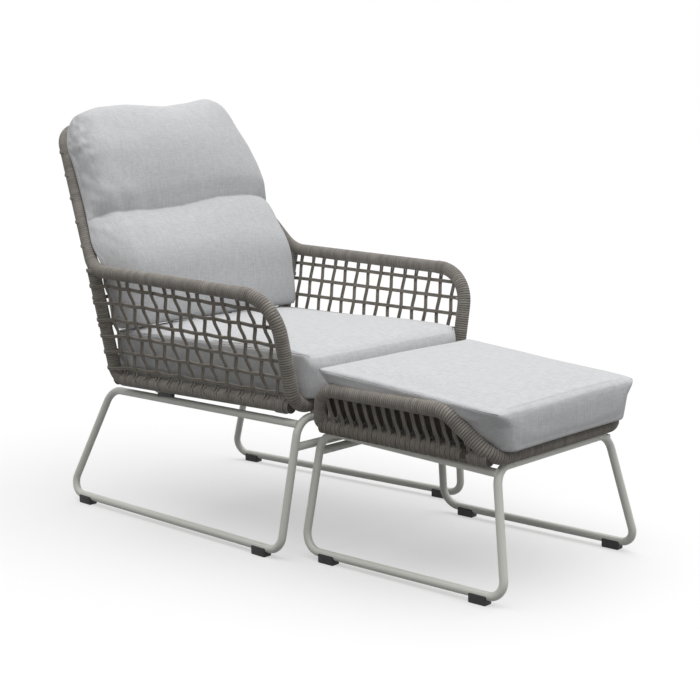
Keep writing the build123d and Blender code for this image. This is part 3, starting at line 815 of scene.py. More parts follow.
@dataclass(frozen=True)
class Straps:
    """Flat straps woven over and under each other across a frame's opening."""

    name: str
    rear: Vector
    front: Vector
    across: int
    along: int
    middle: float = 0.0
    width: float = 48.0
    hem: float = 0.9  # the share of the width that lies between the rounded edges
    thick: float = 1.5
    weave: float = 0.9
    inset: float = 14.5
    lift: float = 1.5

    def make(self) -> Piece:
        """Builds all straps as one mesh."""
        rear = self.rear + Vector((self.inset, -self.inset, self.lift)) * MM
        front = self.front + Vector((self.inset, self.inset, self.lift)) * MM
        rear_right, front_right = [Vector((2 * self.middle * MM - p.x, p.y, p.z)) for p in (rear, front)]
        rows, columns = self.across + 1, self.along + 1
        grid = []
        for row in range(rows + 1):
            a, b = front.lerp(rear, row / rows), front_right.lerp(rear_right, row / rows)
            grid.append([a.lerp(b, column / columns) for column in range(columns + 1)])
        straps = []
        for row in range(1, rows):
            lifts = [0.0] + [1.0 if (row + column) % 2 else -1.0 for column in range(1, columns)] + [0.0]
            straps.append(self._strap(grid[row], lifts, (rear - front).normalized()))
        for column in range(1, columns):
            lifts = [0.0] + [-1.0 if (row + column) % 2 else 1.0 for row in range(1, rows)] + [0.0]
            straps.append(self._strap([line[column] for line in grid], lifts, Vector((1.0, 0.0, 0.0))))
        return smooth(joined(straps, self.name), 40.0)

    def _strap(self, line: list[Vector], lifts: list[float], sideways: Vector) -> Piece:
        """Builds one strap along a line of crossings, lifted over or under at each."""
        clear_selection()
        bpy.ops.mesh.primitive_plane_add(size=1.0)
        strap = bpy.context.object
        mesh = bmesh.new()
        rows = []
        for place, lift in zip(line, lifts):
            centre = place + Vector((0.0, 0.0, lift * self.weave * MM))
            edges = (-1, -self.hem, self.hem, 1)
            rows.append([mesh.verts.new(centre + sideways * share * self.width / 2 * MM) for share in edges])
        for first, second in zip(rows, rows[1:]):
            for k in range(3):
                mesh.faces.new((first[k], first[k + 1], second[k + 1], second[k]))
        mesh.to_mesh(strap.data)
        mesh.free()
        modified(strap, "SOLIDIFY", thickness=self.thick * MM, offset=0.0)
        return modified(strap, "SUBSURF", levels=1, render_levels=1)


# The shells


@dataclass(frozen=True)
class Shell:
    """The chair's wound tube loop, its seat rails, its nets and its webbing."""

    plane: SidePlane = SidePlane(361.0, (250.0, 622.0), (-362.0, 605.0), lean=0.228)
    back_top: tuple[float, float, float] = (246.0, 502.0, 960.0)
    seat_rear: tuple[float, float] = (246.0, 343.0)
    seat_front: tuple[float, float] = (-370.0, 352.0)
    post_bends: tuple[float, float] = (72.0, 75.0)
    arm_bends: tuple[float, float] = (95.0, 50.0)
    rail_bend: float = 32.0
    rail_short: float = 8.0  # the side rail ends this far behind the front bar's centre line
    seam_y: float = -262.0  # where the fine winding passes into the bold one
    collar: tuple[float, float] = (14.0, 44.0)  # from the side rail's front end
    cross_y: float = 96.0
    cross_drop: float = 10.0
    rows: tuple[float, ...] = (0.13, 0.28, 0.438, 0.585, 0.735, 0.885)
    strands: int = 14
    zigzag: float = 0.085  # how far the uprights lean, as a share of their pitch
    zigzag_rows: tuple[int, ...] = (0, -1, 1, -1, 1, -1, 1, 0)
    back_rows: tuple[int, int] = (6, 4)  # above and below the elbow
    back_columns: int = 9

    def corners(self, side: Side) -> dict[str, Vector]:
        """Corner points of one side in metres."""
        plane = self.plane
        points = {"arm_rear": plane.rear, "arm_front": plane.front}
        points.update(seat_rear=self.seat_rear, seat_front=self.seat_front)
        places = {name: plane.place(side, point, Body.CHAIR) for name, point in points.items()}
        return {"back_top": spot(side.value * self.back_top[0], *self.back_top[1:]), **places}

    def build(self) -> None:
        """Builds the whole shell."""
        left, right = self.corners(Side.LEFT), self.corners(Side.RIGHT)
        for side in Side:
            self.build_side(side)
        bar = Route((left["seat_rear"], right["seat_rear"]))
        wound(FINE_WINDING, "rear_bar_winding", bar, Body.CHAIR, "chair_rear_bar")
        self.build_back_net(left, right)
        down = Vector((0.0, 0.0, self.cross_drop * MM))
        ends = [at_depth(c["seat_rear"], c["seat_front"], self.cross_y) - down for c in (left, right)]
        bare("seat_cross_tube", Route(tuple(ends)), Body.CHAIR, "chair_cross_tube")
        straps = Straps("seat_straps", left["seat_rear"], left["seat_front"], across=5, along=4)
        WEBBING.dress(straps.make(), Body.CHAIR, "chair_seat_webbing")

    def build_side(self, side: Side) -> None:
        """Builds one side's windings and its net."""
        c = self.corners(side)
        word = side.name.lower()
        top, front = spot(0.0, *self.back_top[1:]), spot(0.0, *self.seat_front)
        seam = at_depth(c["arm_rear"], c["arm_front"], self.seam_y)
        upper = Route((top, c["back_top"], c["arm_rear"], seam), self.post_bends)
        lower = Route((seam, c["arm_front"], c["seat_front"], front), self.arm_bends)
        wound(FINE_WINDING, f"back_and_arm_winding_{word}", upper, Body.CHAIR, f"chair_loop_{word}")
        wound(BOLD_WINDING, f"arm_front_winding_{word}", lower, Body.CHAIR)
        rail_front = at_depth(c["seat_rear"], c["seat_front"], self.seat_front[0] + self.rail_short)
        rail = Route((c["arm_rear"], c["seat_rear"], rail_front), (self.rail_bend,))
        wound(FINE_WINDING, f"side_rail_winding_{word}", rail, Body.CHAIR, f"chair_side_rail_{word}")
        back = (c["seat_rear"] - rail_front).normalized()
        ends = Route(tuple(rail_front + back * reach * MM for reach in self.collar))
        wound(COLLAR_WINDING, f"side_rail_collar_{word}", ends, Body.CHAIR)
        outward = out_of_side(c["arm_rear"], c["arm_front"], c["seat_front"], side)
        net = Net(f"side_net_{word}", self.side_grid(c), outward, end_spread=3.6)
        NET_CORD.dress(net.make(), Body.CHAIR, f"chair_side_net_{word}")
        # Painted shadow: the dark slot cords stand for the shade where the uprights' feet part the lower
        # winding's turns.
        SHADE_CORD.dress(net.slots(), Body.CHAIR)

    def side_grid(self, c: dict[str, Vector]) -> tuple[tuple[Vector, ...], ...]:
        """Crossings of a side net: rows along the arm, and uprights that lean together in pairs."""
        pitch = 1.0 / (self.strands + 1)
        grid = []
        for depth, way in zip((0.0, *self.rows, 1.0), self.zigzag_rows):
            rear = c["arm_rear"].lerp(c["seat_rear"], depth)
            front = c["arm_front"].lerp(c["seat_front"], depth)
            lean = self.zigzag * pitch * way
            shares = [s * pitch + (lean if s % 2 else -lean) for s in range(1, self.strands + 1)]
            grid.append(tuple(rear.lerp(front, share) for share in (0.0, *shares, 1.0)))
        return tuple(grid)

    def build_back_net(self, left: dict[str, Vector], right: dict[str, Vector]) -> None:
        """Weaves the back: a raked part between the posts and an upright part behind the seat."""
        above, below = self.back_rows
        columns = [column / self.back_columns for column in range(self.back_columns + 1)]
        grid = []
        for high, low, shares in (
            ("back_top", "arm_rear", [row / above for row in range(above)]),
            ("arm_rear", "seat_rear", [row / below for row in range(below + 1)]),
        ):
            for share in shares:
                a, b = left[high].lerp(left[low], share), right[high].lerp(right[low], share)
                grid.append(tuple(a.lerp(b, column) for column in columns))
        outward = Vector((0.0, 1.0, 0.0))
        net = Net("back_net", tuple(grid), outward, hook=False, wraps=(True, True), top_spread=2.4)
        NET_CORD.dress(net.make(), Body.CHAIR, "chair_back_net_upper", "chair_back_net_lower")


@dataclass(frozen=True)
class StoolShell:
    """The footstool's wound loop with its raised wings, lower rails, wing cords and webbing."""

    plane: SidePlane = SidePlane(272.0, (-449.0, 402.6), (-790.0, 400.0), lean=0.308)
    low_rear: tuple[float, float] = (-417.0, 314.0)
    low_front: tuple[float, float] = (-897.0, 306.0)
    rear_bends: tuple[float, float] = (30.0, 45.0)
    front_bends: tuple[float, float] = (60.0, 50.0)
    rail_ends: tuple[float, float] = (-425.0, -889.0)
    seam_y: float = -700.0
    cross_y: float = -540.0
    cross_drop: float = 0.5
    cords: int = 17
    slant: float = 11.0
    cord_radius: float = 2.6
    pair: float = 0.96  # from a doubled cord's middle to each of its two, in radii
    lining: tuple[float, ...] = (-2.6, -0.9, 0.9, 2.6)  # the shaded lining's cords beside a place, in radii: the inner run, four cords wide, whose darker colour is painted shade
    overrun: float = 6.0  # how far behind the wing's rear corner a cord may start
    shortest: float = 38.0
    shortest_run: float = 52.0  # a shorter cord has no run between the rails, only its turn
    rail_reach: float = 16.3

    def corners(self, side: Side) -> dict[str, Vector]:
        """Corner points of one side in metres."""
        points = {"wing_rear": self.plane.rear, "wing_front": self.plane.front}
        points.update(low_rear=self.low_rear, low_front=self.low_front)
        return {name: self.plane.place(side, point, Body.STOOL) for name, point in points.items()}

    def build(self) -> None:
        """Builds the whole shell."""
        for side in Side:
            self.build_side(side)
        left, right = self.corners(Side.LEFT), self.corners(Side.RIGHT)
        down = Vector((0.0, 0.0, self.cross_drop * MM))
        ends = [at_depth(c["low_rear"], c["low_front"], self.cross_y) - down for c in (left, right)]
        bare("stool_cross_bare_tube", Route(tuple(ends)), Body.STOOL, "stool_cross_tube")
        straps = Straps("stool_straps", left["low_rear"], left["low_front"], across=4, along=3, middle=STOOL_X)
        WEBBING.dress(straps.make(), Body.STOOL, "stool_webbing")

    def build_side(self, side: Side) -> None:
        """Builds one side's windings and wing cords."""
        c = self.corners(side)
        word = side.name.lower()
        rear, front = spot(0.0, *self.low_rear, Body.STOOL), spot(0.0, *self.low_front, Body.STOOL)
        seam = at_depth(c["wing_rear"], c["wing_front"], self.seam_y)
        wing = Route((rear, c["low_rear"], c["wing_rear"], seam), self.rear_bends)
        slant = Route((seam, c["wing_front"], c["low_front"], front), self.front_bends)
        rail = Route(tuple(at_depth(c["low_rear"], c["low_front"], y) for y in self.rail_ends))
        wound(FINE_WINDING, f"stool_wing_winding_{word}", wing, Body.STOOL, f"stool_loop_{word}")
        wound(BOLD_WINDING, f"stool_slant_winding_{word}", slant, Body.STOOL)
        wound(FINE_WINDING, f"stool_lower_rail_winding_{word}", rail, Body.STOOL, f"stool_lower_rail_{word}")
        self.build_wing_cords(side, c)

    def build_wing_cords(self, side: Side, c: dict[str, Vector]) -> None:
        """Lays the doubled cords that run down the wing, outside and inside, and round its lower rail."""
        word = side.name.lower()
        outward = out_of_side(c["wing_rear"], c["wing_front"], c["low_front"], side)
        along = (c["low_front"] - c["low_rear"]).normalized() * self.cord_radius * MM
        bundle = CordBundle(f"wing_cords_{word}", self.cord_radius)
        lining = CordBundle(f"wing_inner_cords_{word}", self.cord_radius)
        steps = 2 * self.cords + 2
        for step in range(1, steps):
            outer = step % 2 == 0
            y = self.low_rear[0] - (self.low_rear[0] - self.low_front[0]) * step / steps
            foot = at_depth(c["low_rear"], c["low_front"], y)
            top = self.wing_place(c, y + (self.slant if outer else -self.slant))
            if (foot - top).length < self.shortest * MM:
                continue
            run = self.cord_run(top, foot, outward, outer)
            for shift in (-self.pair, self.pair):
                bundle.lay([place + along * shift for place in (run if outer else run[3:])])
            # Painted shade: the inner run is laid four cords wide in the darker cord, so that the gaps between
            # the outer cords look shaded.
            for shift in () if outer else self.lining:
                lining.lay([place + along * shift for place in run[:4]])
        NET_CORD.dress(bundle.mesh(), Body.STOOL, f"stool_wing_cords_{word}")
        SHADE_CORD.dress(lining.mesh(), Body.STOOL)

    def wing_place(self, c: dict[str, Vector], y: float) -> Vector:
        """Finds the wing rail's or the slanting tube's centre at a depth in millimetres."""
        y = min(y, self.plane.rear[0] + self.overrun)
        if y >= self.plane.front[0]:
            return at_depth(c["wing_rear"], c["wing_front"], y)
        return at_depth(c["wing_front"], c["low_front"], y)

    def cord_run(self, top: Vector, foot: Vector, outward: Vector, outer: bool) -> list[Vector]:
        """Places of one cord from under the top rail to under the lower rail.

        Args:
            top: The place on the top rail's centre line.
            foot: The place on the lower rail's centre line.
            outward: The direction away from the footstool.
            outer: Whether the cord runs down the wing's outside.

        Returns:
            The places in metres.
        """
        down = (foot - top).normalized()
        out, bulge, low_out, start = (4.5, 2.0, 4.5, -62) if outer else (-9.0, 1.0, -5.0, -95)
        places = []
        if (foot - top).length > self.shortest_run * MM:
            places += [
                top + (down * 9 + outward * (out * 0.9)) * MM,
                top + (down * 19 + outward * out) * MM,
                top.lerp(foot, 0.5) + outward * (out + bulge) * MM,
                foot + (-down * 25 + outward * low_out) * MM,
            ]
        for angle in range(start, 125, 31):
            places.append(foot + turned(outward, down, angle) * self.rail_reach * MM)
        return places


# Bases and spacers


@dataclass(frozen=True)
class Base:
    """A base of bare tube: two side frames, the front bar between them, a stretcher and four glides."""

    body: Body
    word: str
    rear_top: tuple[float, float, float]
    front_top: tuple[float, float, float]
    rear_floor: tuple[float, float, float]
    front_floor: tuple[float, float, float]
    bends: tuple[float, float, float, float]
    rail_drop: float
    stretcher_drop: float
    stretcher_in_front: bool
    foot_rear: float = 73.0
    foot_front: float = 64.0
    seam: tuple[float, float] = (0.55, 0.56)  # where the front bar's legs end and the side frames' legs begin

    def corner(self, place: tuple[float, float, float], side: Side) -> Vector:
        """One corner on one side, in metres."""
        return spot(side.value * place[0], place[1], place[2], self.body)

    def build(self) -> None:
        """Builds the base."""
        for side in Side:
            self.build_side(side)
        tops = [self.corner(self.front_top, side) for side in Side]
        legs = [self.corner(self.front_floor, side).lerp(top, self.seam[0]) for side, top in zip(Side, tops)]
        bar = Route((legs[0], *tops, legs[1]), (self.bends[3], self.bends[3]))
        bare(f"{self.word}_front_bar_tube", bar, self.body, f"{self.word}_front_bar")
        low, high = self.rear_floor, self.rear_top
        if self.stretcher_in_front:
            low, high = self.front_floor, self.front_top
        height = high[2] - self.stretcher_drop
        ends = [at_height(self.corner(low, side), self.corner(high, side), height) for side in Side]
        bare(f"{self.word}_stretcher_tube", Route(tuple(ends)), self.body, f"{self.word}_stretcher")

    def build_side(self, side: Side) -> None:
        """Builds one side frame and its glides."""
        rear_top, front_top = self.corner(self.rear_top, side), self.corner(self.front_top, side)
        rear_floor, front_floor = self.corner(self.rear_floor, side), self.corner(self.front_floor, side)
        rail_end = at_height(front_floor, front_top, self.front_top[2] - self.rail_drop)
        leg_end = front_floor.lerp(front_top, self.seam[1])
        route = Route((rail_end, rear_top, rear_floor, front_floor, leg_end), self.bends[:3])
        word = side.name.lower()
        bare(f"{self.word}_side_tube_{word}", route, self.body, f"{self.word}_side_frame_{word}")
        along = (front_floor - rear_floor).normalized()
        glides = (("rear", rear_floor, self.foot_rear), ("front", front_floor, -self.foot_front))
        for end, corner, reach in glides:
            glide = Glide(f"{self.word}_glide_{end}_{word}").make(corner + along * reach * MM, along)
            PLASTIC.dress(glide, self.body, f"{self.word}_foot_{end}_{word}")


@dataclass(frozen=True)
class Glide:
    """A moulded channel that is pressed on to the floor rail from below."""

    name: str
    length: float = 45.0
    width: float = 25.0
    height: float = 21.0
    rounding: float = 2.6
    draft: float = 0.05  # how much narrower its foot is, as a share of the width

    def make(self, centre: Vector, along: Vector) -> Piece:
        """Moulds the glide at a place on the floor rail.

        Args:
            centre: The place on the rail's centre line, in metres.
            along: The rail's direction.

        Returns:
            The glide as a mesh.
        """
        clear_selection()
        bpy.ops.mesh.primitive_cube_add(size=1.0)
        glide = begun(self.name)
        glide.scale = (self.width * MM, self.length * MM, self.height * MM)
        with editing(settle(glide)):
            bpy.ops.mesh.bevel(offset=self.rounding * MM, segments=3, affect="EDGES")
        for vertex in glide.data.vertices:
            if vertex.co.z < 0:
                vertex.co.x *= 1.0 - self.draft * (-vertex.co.z / (self.height * MM / 2))
        glide.rotation_euler = (0.0, 0.0, math.atan2(along.y, along.x) - math.pi / 2)
        glide.location = (centre.x, centre.y, self.height / 2 * MM)
        return smooth(closed(settle(glide)), 35.0)


@dataclass(frozen=True)
class Spacer:
    """A spacer between the base and the shell, where its solid stands: a turned stub or, if long, a block."""

    node: str
    finish: Finish
    radius: float = 6.0
    flange: float = 1.6
    flange_height: float = 2.2
    long: float = 0.0
    rounding: float = 2.2

    def build(self) -> None:
        """Builds the spacer."""
        low, high = [Vector(corner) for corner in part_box(self.node)]
        clear_selection()
        spacer = self.block(low, high) if self.long else self.stub(low, high)
        body = Body.CHAIR if self.node.startswith("chair") else Body.STOOL
        self.finish.dress(smooth(closed(spacer), 40.0), body, self.node)

    def block(self, low: Vector, high: Vector) -> Piece:
        """Moulds a block with rounded edges."""
        bpy.ops.mesh.primitive_cube_add(size=1.0, location=(low + high) / 2)
        spacer = begun(f"{self.node}_block")
        spacer.scale = (self.radius * 2 * MM, self.long * MM, high.z - low.z)
        with editing(settle(spacer)):
            bpy.ops.mesh.bevel(offset=self.rounding * MM, segments=3, affect="EDGES")
        return spacer

    def stub(self, low: Vector, high: Vector) -> Piece:
        """Turns a stub with a flange at both ends."""
        middle = (low + high) / 2
        bpy.ops.mesh.primitive_cylinder_add(
            vertices=24, radius=self.radius * MM, depth=high.z - low.z, location=middle
        )
        spacer = begun(f"{self.node}_turned")
        with editing(settle(spacer)):
            for height in (low.z + self.flange_height * MM, high.z - self.flange_height * MM):
                bpy.ops.mesh.select_all(action="SELECT")
                bpy.ops.mesh.bisect(plane_co=(0.0, 0.0, height), plane_no=(0.0, 0.0, 1.0))
        for vertex in spacer.data.vertices:
            if min(abs(vertex.co.z - low.z), abs(vertex.co.z - high.z)) < 0.1 * MM:
                away = Vector((vertex.co.x - middle.x, vertex.co.y - middle.y, 0.0))
                vertex.co += away.normalized() * self.flange * MM
        return spacer


def build_spacers(frame: dict) -> None:
    """Builds the spacers: coated stubs at the front bars and dark blocks at the rear."""
    for name in sorted(frame["nodes"]):
        if "spacer" in name:
            front = "front" in name
            Spacer(name, PAINT if front else PLASTIC, long=0.0 if front else 52.0).build()


# Cushions


def eased(value: np.ndarray, low: float, high: float) -> np.ndarray:
    """Rises smoothly from 0 at low to 1 at high."""
    share = np.clip((value - low) / (high - low), 0.0, 1.0)
    return share * share * (3.0 - 2.0 * share)


def quarter_round(share: np.ndarray) -> np.ndarray:
    """Rises like a quarter of a circle from 0 at 0 to 1 at 1."""
    return np.sqrt(np.clip(1.0 - (1.0 - np.clip(share, 0.0, 1.0)) ** 2, 0.0, 1.0))


def ripple(points: np.ndarray, wave: float, seed: float) -> np.ndarray:
    """Smooth noise between about -1 and 1 at places in millimetres.

    Args:
        points: Places, one in each row.
        wave: Size of one ripple in millimetres.
        seed: Offset that picks the pattern.

    Returns:
        One value for each place.
    """
    shift = Vector((seed * 7.3, seed * 3.1, seed * 5.7))
    return np.array([noise.noise(Vector(p) / wave + shift) for p in points]) * 1.6


def rounded_edge(
    border: np.ndarray, inset: np.ndarray, gap: np.ndarray, radius: np.ndarray | float
) -> list[np.ndarray]:
    """Rounds the edge between a cushion's side and its upper or lower face.

    Args:
        border: Whether a place lies in the side's border.
        inset: How far it lies inside the side.
        gap: How far it lies from the upper or lower face.
        radius: The edge's radius.

    Returns:
        How far each place moves inwards, and how far away from the upper or lower face.
    """
    parts = [np.maximum(radius - distance, 0.0) for distance in (inset, gap)]
    span = np.maximum(np.hypot(*parts), 1e-9)
    shell = border & (gap < radius)
    return [np.where(shell, radius - radius * p / span - d, 0.0) for p, d in zip(parts, (inset, gap))]


@dataclass(frozen=True)
class Fabric:
    """How a cushion's cover behaves when it is blown up."""

    pressure: float = 3.0
    mass: float = 0.3
    stretching: float = 18.0
    shearing: float = 8.0
    bending: float = 0.6
    quality: int = 5
    frames: int = 14
    cap: float = 9.0  # how far a point may move


@dataclass(frozen=True)
class Seam:
    """A seam of thread with stitches beside it; the thread's darker grey also paints the shade in the seam's
    groove. Its shifts go inwards and down.
    """

    groove: tuple[float, float] = (2.2, 2.0)
    thread: tuple[float, float] = (1.2, 1.1)
    thread_radius: float = 0.9
    stitches: tuple[float, float] = (7.0, -1.3)  # from the thread
    gap: float = 1.8
    dash: float = 3.2
    stitch_radius: float = 0.4

    def shifted(self, line: list[Vector], sign: float, shift: tuple[float, float]) -> list[Vector]:
        """Moves a line of places inwards and down, on the side with a sign."""
        return [place + Vector((-sign * shift[0], 0.0, -shift[1])) * MM for place in line]

    def stitch(self, name: str, line: list[Vector]) -> Piece:
        """Lays a line of stitches along places in metres.

        Args:
            name: The piece's name.
            line: The places.

        Returns:
            The stitches as one mesh.
        """
        bundle = CordBundle(name, self.stitch_radius, rounding=0, steps=1)
        walked, current = 0.0, []
        for a, b in zip(line, line[1:]):
            length = (b - a).length / MM
            steps = max(1, math.ceil(length))
            for step in range(steps):
                if walked % (self.gap + self.dash) < self.dash:
                    current.append(a.lerp(b, step / steps))
                else:
                    if len(current) > 1:
                        bundle.lay([current[0], current[-1]])
                    current = []
                walked += length / steps
        return bundle.mesh()


@dataclass(frozen=True)
class Cushion:
    """A loose cushion made from a finely divided cube: shaped, blown up, puckered and sewn."""

    node: str
    name: str
    body: Body
    fill: float = 0.8
    cuts: int = 47
    fabric: Fabric = Fabric()

    def build(self) -> None:
        """Builds the cushion and its seams."""
        pad, cube = self.divided_cube()
        self.put(pad, self.shape(cube))
        self.blow_up(pad, self.held(cube))
        self.put(pad, self.pucker(cube, self.places(pad)))
        self.sew(faced_out(pad), cube)
        modified(pad, "SUBSURF", levels=1, render_levels=1)
        CLOTH.dress(smooth(pad, 89.0), self.body, self.node)

    def divided_cube(self) -> tuple[Piece, np.ndarray]:
        """Makes the cube and returns it with its corner coordinates between -1 and 1."""
        clear_selection()
        bpy.ops.mesh.primitive_cube_add(size=2.0)
        pad = begun(self.name)
        with editing(pad):
            bpy.ops.mesh.subdivide(number_cuts=self.cuts)
        return pad, self.points(pad)

    def points(self, pad: Piece) -> np.ndarray:
        """Reads the pad's points as they stand."""
        flat = np.empty(len(pad.data.vertices) * 3)
        pad.data.vertices.foreach_get("co", flat)
        return flat.reshape(-1, 3)

    def places(self, pad: Piece) -> np.ndarray:
        """Reads the pad's points, in millimetres."""
        return self.points(pad) / MM

    def put(self, pad: Piece, points: np.ndarray) -> None:
        """Moves the pad's points to places in millimetres."""
        pad.data.vertices.foreach_set("co", (points * MM).ravel())
        pad.data.update()

    def shape(self, cube: np.ndarray) -> np.ndarray:
        """Turns the cube into the cushion, in the model's millimetres."""
        raise NotImplementedError

    def held(self, cube: np.ndarray) -> np.ndarray:
        """Says which points stay put while the cushion is blown up, as weights."""
        raise NotImplementedError

    def pucker(self, cube: np.ndarray, points: np.ndarray) -> np.ndarray:
        """Gathers the cover along its seams."""
        raise NotImplementedError

    def sew(self, pad: Piece, cube: np.ndarray) -> None:
        """Adds the seams, if the cushion has any."""

    def blow_up(self, pad: Piece, held: np.ndarray) -> None:
        """Fills the cushion by cloth simulation, and caps how far a point moves.

        Args:
            pad: The shaped cushion.
            held: A weight for each point, 1 where it stays put.
        """
        before = self.places(pad)
        group = pad.vertex_groups.new(name="held")
        for index in np.nonzero(held > 0.02)[0]:
            group.add([int(index)], float(held[index]), "REPLACE")
        fabric = self.fabric
        cloth = pad.modifiers.new("cloth", "CLOTH")
        settings = cloth.settings
        settings.quality = fabric.quality
        settings.mass = fabric.mass
        settings.tension_stiffness = settings.compression_stiffness = fabric.stretching
        settings.shear_stiffness = fabric.shearing
        settings.bending_stiffness = fabric.bending
        settings.use_pressure = True
        settings.uniform_pressure_force = fabric.pressure
        settings.vertex_group_mass = "held"
        settings.effector_weights.gravity = 0.0
        cloth.collision_settings.use_self_collision = False
        cloth.point_cache.frame_start = 1
        cloth.point_cache.frame_end = fabric.frames
        scene = bpy.context.scene
        for frame in range(1, fabric.frames + 1):
            scene.frame_set(frame)
        take_up(pad)
        bpy.ops.object.modifier_apply(modifier="cloth")
        scene.frame_set(1)
        pad.vertex_groups.clear()
        move = self.evened(pad, self.places(pad) - before)
        length = np.linalg.norm(move, axis=1, keepdims=True)
        self.put(pad, before + move * np.minimum(1.0, fabric.cap / np.maximum(length, 1e-6)))
        LOG.info("%s: blown up, moved %.1f mm on average", self.name, float(length.mean()))

    def evened(self, pad: Piece, move: np.ndarray, rounds: int = 10) -> np.ndarray:
        """Averages each point's move with its neighbours', so that the filling leaves no sharp folds."""
        ends = np.empty(len(pad.data.edges) * 2, dtype=np.int32)
        pad.data.edges.foreach_get("vertices", ends)
        one, other = ends.reshape(-1, 2).T
        count = np.bincount(ends, minlength=len(move)).reshape(-1, 1)
        for _ in range(rounds):
            total = np.zeros_like(move)
            np.add.at(total, one, move[other])
            np.add.at(total, other, move[one])
            move = 0.4 * move + 0.6 * total / count
        return move


@dataclass(frozen=True)
class BoxPad(Cushion):
    """A box cushion that lies on its rails: a soft front roll and side seams along the upper edge.

    The rows of its profile are a share of the height, the half width at the rear and the half width in front.
    """

    middle: float = 0.0
    profile: tuple[tuple[float, float, float], ...] = (
        (0.0, 286.0, 281.0),
        (0.25, 299.0, 285.0),
        (1.0, 302.0, 286.0),
    )
    rear: float = 242.0
    front: float = -402.0
    rail_rear: tuple[float, float] = (246.0, 343.0)
    rail_front: tuple[float, float] = (-370.0, 352.0)
    thick_rear: float = 110.0
    thick_front: float = 106.0
    crown: float = 13.0
    corner: float = 40.0
    rear_corner: float = 14.0
    side_edge: float = 9.0
    front_edge: float = 40.0
    under_edge: float = 7.0
    float_height: float = 0.3  # above the wound rails
    sink: float = 10.0  # how deep the underside sinks between the rails
    sink_from: tuple[float, float] = (19.0, 44.0)  # behind the front rail's centre line
    ear: float = 3.0
    ear_lift: float = 0.0
    draw_in: float = 4.0
    seam: Seam = Seam()
    seed: float = 1.0

    def shape(self, cube: np.ndarray) -> np.ndarray:
        """Rounds and crowns the cube between the rails' height and the cushion's top."""
        a, b, c = cube.T
        a, b = [np.sign(t) * (1.0 - (1.0 - np.abs(t)) ** 1.25) for t in (a, b)]
        up, ahead = (c + 1.0) / 2.0, (1.0 - b) / 2.0
        heights, at_rear, at_front = zip(*self.profile)
        half = np.interp(up, heights, at_rear) * (1.0 - ahead) + np.interp(up, heights, at_front) * ahead
        deep = (self.rear - self.front) / 2.0
        thick = self.thick_front + (self.thick_rear - self.thick_front) * (b + 1.0) / 2.0

        # Corners seen from above, and the rounding of the upper and lower edges
        x, y = a * half, b * deep
        radius = np.where(b > 0.0, self.rear_corner, self.corner)
        core_x, core_y = [np.clip(t, radius - size, size - radius) for t, size in ((x, half), (y, deep))]
        dx, dy = x - core_x, y - core_y
        wide, long = np.maximum(np.abs(dx), np.abs(dy)), np.maximum(np.hypot(dx, dy), 1e-9)
        nx, ny = dx / long, dy / long
        top_edge = self.side_edge + (self.front_edge - self.side_edge) * eased(-ny, 0.35, 0.95)
        top_in, top_drop = rounded_edge(wide > 0, radius - wide, (1.0 - up) * thick, top_edge)
        low_in, low_rise = rounded_edge(wide > 0, radius - wide, up * thick, self.under_edge)
        reach = wide - (top_in + low_in)
        x, y = core_x + nx * reach, core_y + ny * reach

        # Ears at the rear corners, and sides that are drawn in between them
        ear = (np.abs(a) * np.abs(b)) ** 10 * (b > 0)
        x = x + np.sign(a) * ear * self.ear * up
        y = y + np.sign(b) * ear * self.ear * up
        x = x - np.sign(a) * self.draw_in * (1.0 - b * b) * eased(np.abs(a), 0.6, 1.0)
        y = y - np.sign(b) * self.draw_in * (1.0 - a * a) * eased(np.abs(b), 0.6, 1.0)
        y = y + (self.rear + self.front) / 2.0

        # Heights
        slope = (self.rail_front[1] - self.rail_rear[1]) / (self.rail_front[0] - self.rail_rear[0])
        base = self.rail_rear[1] + (y - self.rail_rear[0]) * slope + WRAP_R + self.float_height
        low, high = [self.rail_front[0] + shift for shift in self.sink_from]
        sag = self.sink * (1.0 - eased(up, 0.0, 0.4)) * eased(y, low, high)
        crown = self.crown * (1.0 - a**2) * (1.0 - b**2) ** 0.8 * eased(up, 0.55, 1.0)
        z = base + up * thick - top_drop + low_rise - sag + ear * self.ear_lift * eased(up, 0.5, 1.0) + crown
        return np.stack((x + self.middle, y + PAIR_SHIFT, z), axis=1)

    def held(self, cube: np.ndarray) -> np.ndarray:
        """Holds the underside and the upper side edges, and less firmly the upper edges in front and behind."""
        a, b, c = cube.T
        side, end = [(np.abs(t) - 1.0) ** 2 + (c - 1.0) ** 2 for t in (a, b)]
        seam = np.maximum(np.exp(-side / 0.0006), 0.85 * np.exp(-end / 0.004))
        return np.clip(np.maximum(eased(-c, 0.6, 1.0), seam), 0.0, 1.0)

    def pucker(self, cube: np.ndarray, points: np.ndarray) -> np.ndarray:
        """Gathers the cover a little beside the side seams and lets the faces wander."""
        a, b, c = cube.T
        near = np.exp(-(1.0 - np.abs(a)) * self.profile[-1][1] / 26.0) * eased(c, 0.3, 1.0)
        side = (np.abs(a) > 0.999) * np.exp(-(1.0 - c) / 2.0 * self.thick_front / 30.0)
        gather = ripple(points * np.array([0.25, 1.0, 0.25]), 34.0, self.seed)
        wander = ripple(points, 130.0, self.seed + 4.0)
        folds = ripple(points * np.array([1.0, 0.3, 0.35]), 64.0, self.seed + 9.0)
        x = np.sign(a) * side * gather * 0.8
        y = -0.6 * (b < -0.999) * folds * eased(-c, -0.9, 0.6)
        z = 0.9 * near * gather * (c > 0.999) + 0.8 * wander * eased(c, 0.8, 1.0)
        return points + np.stack((x, y, z), axis=1)

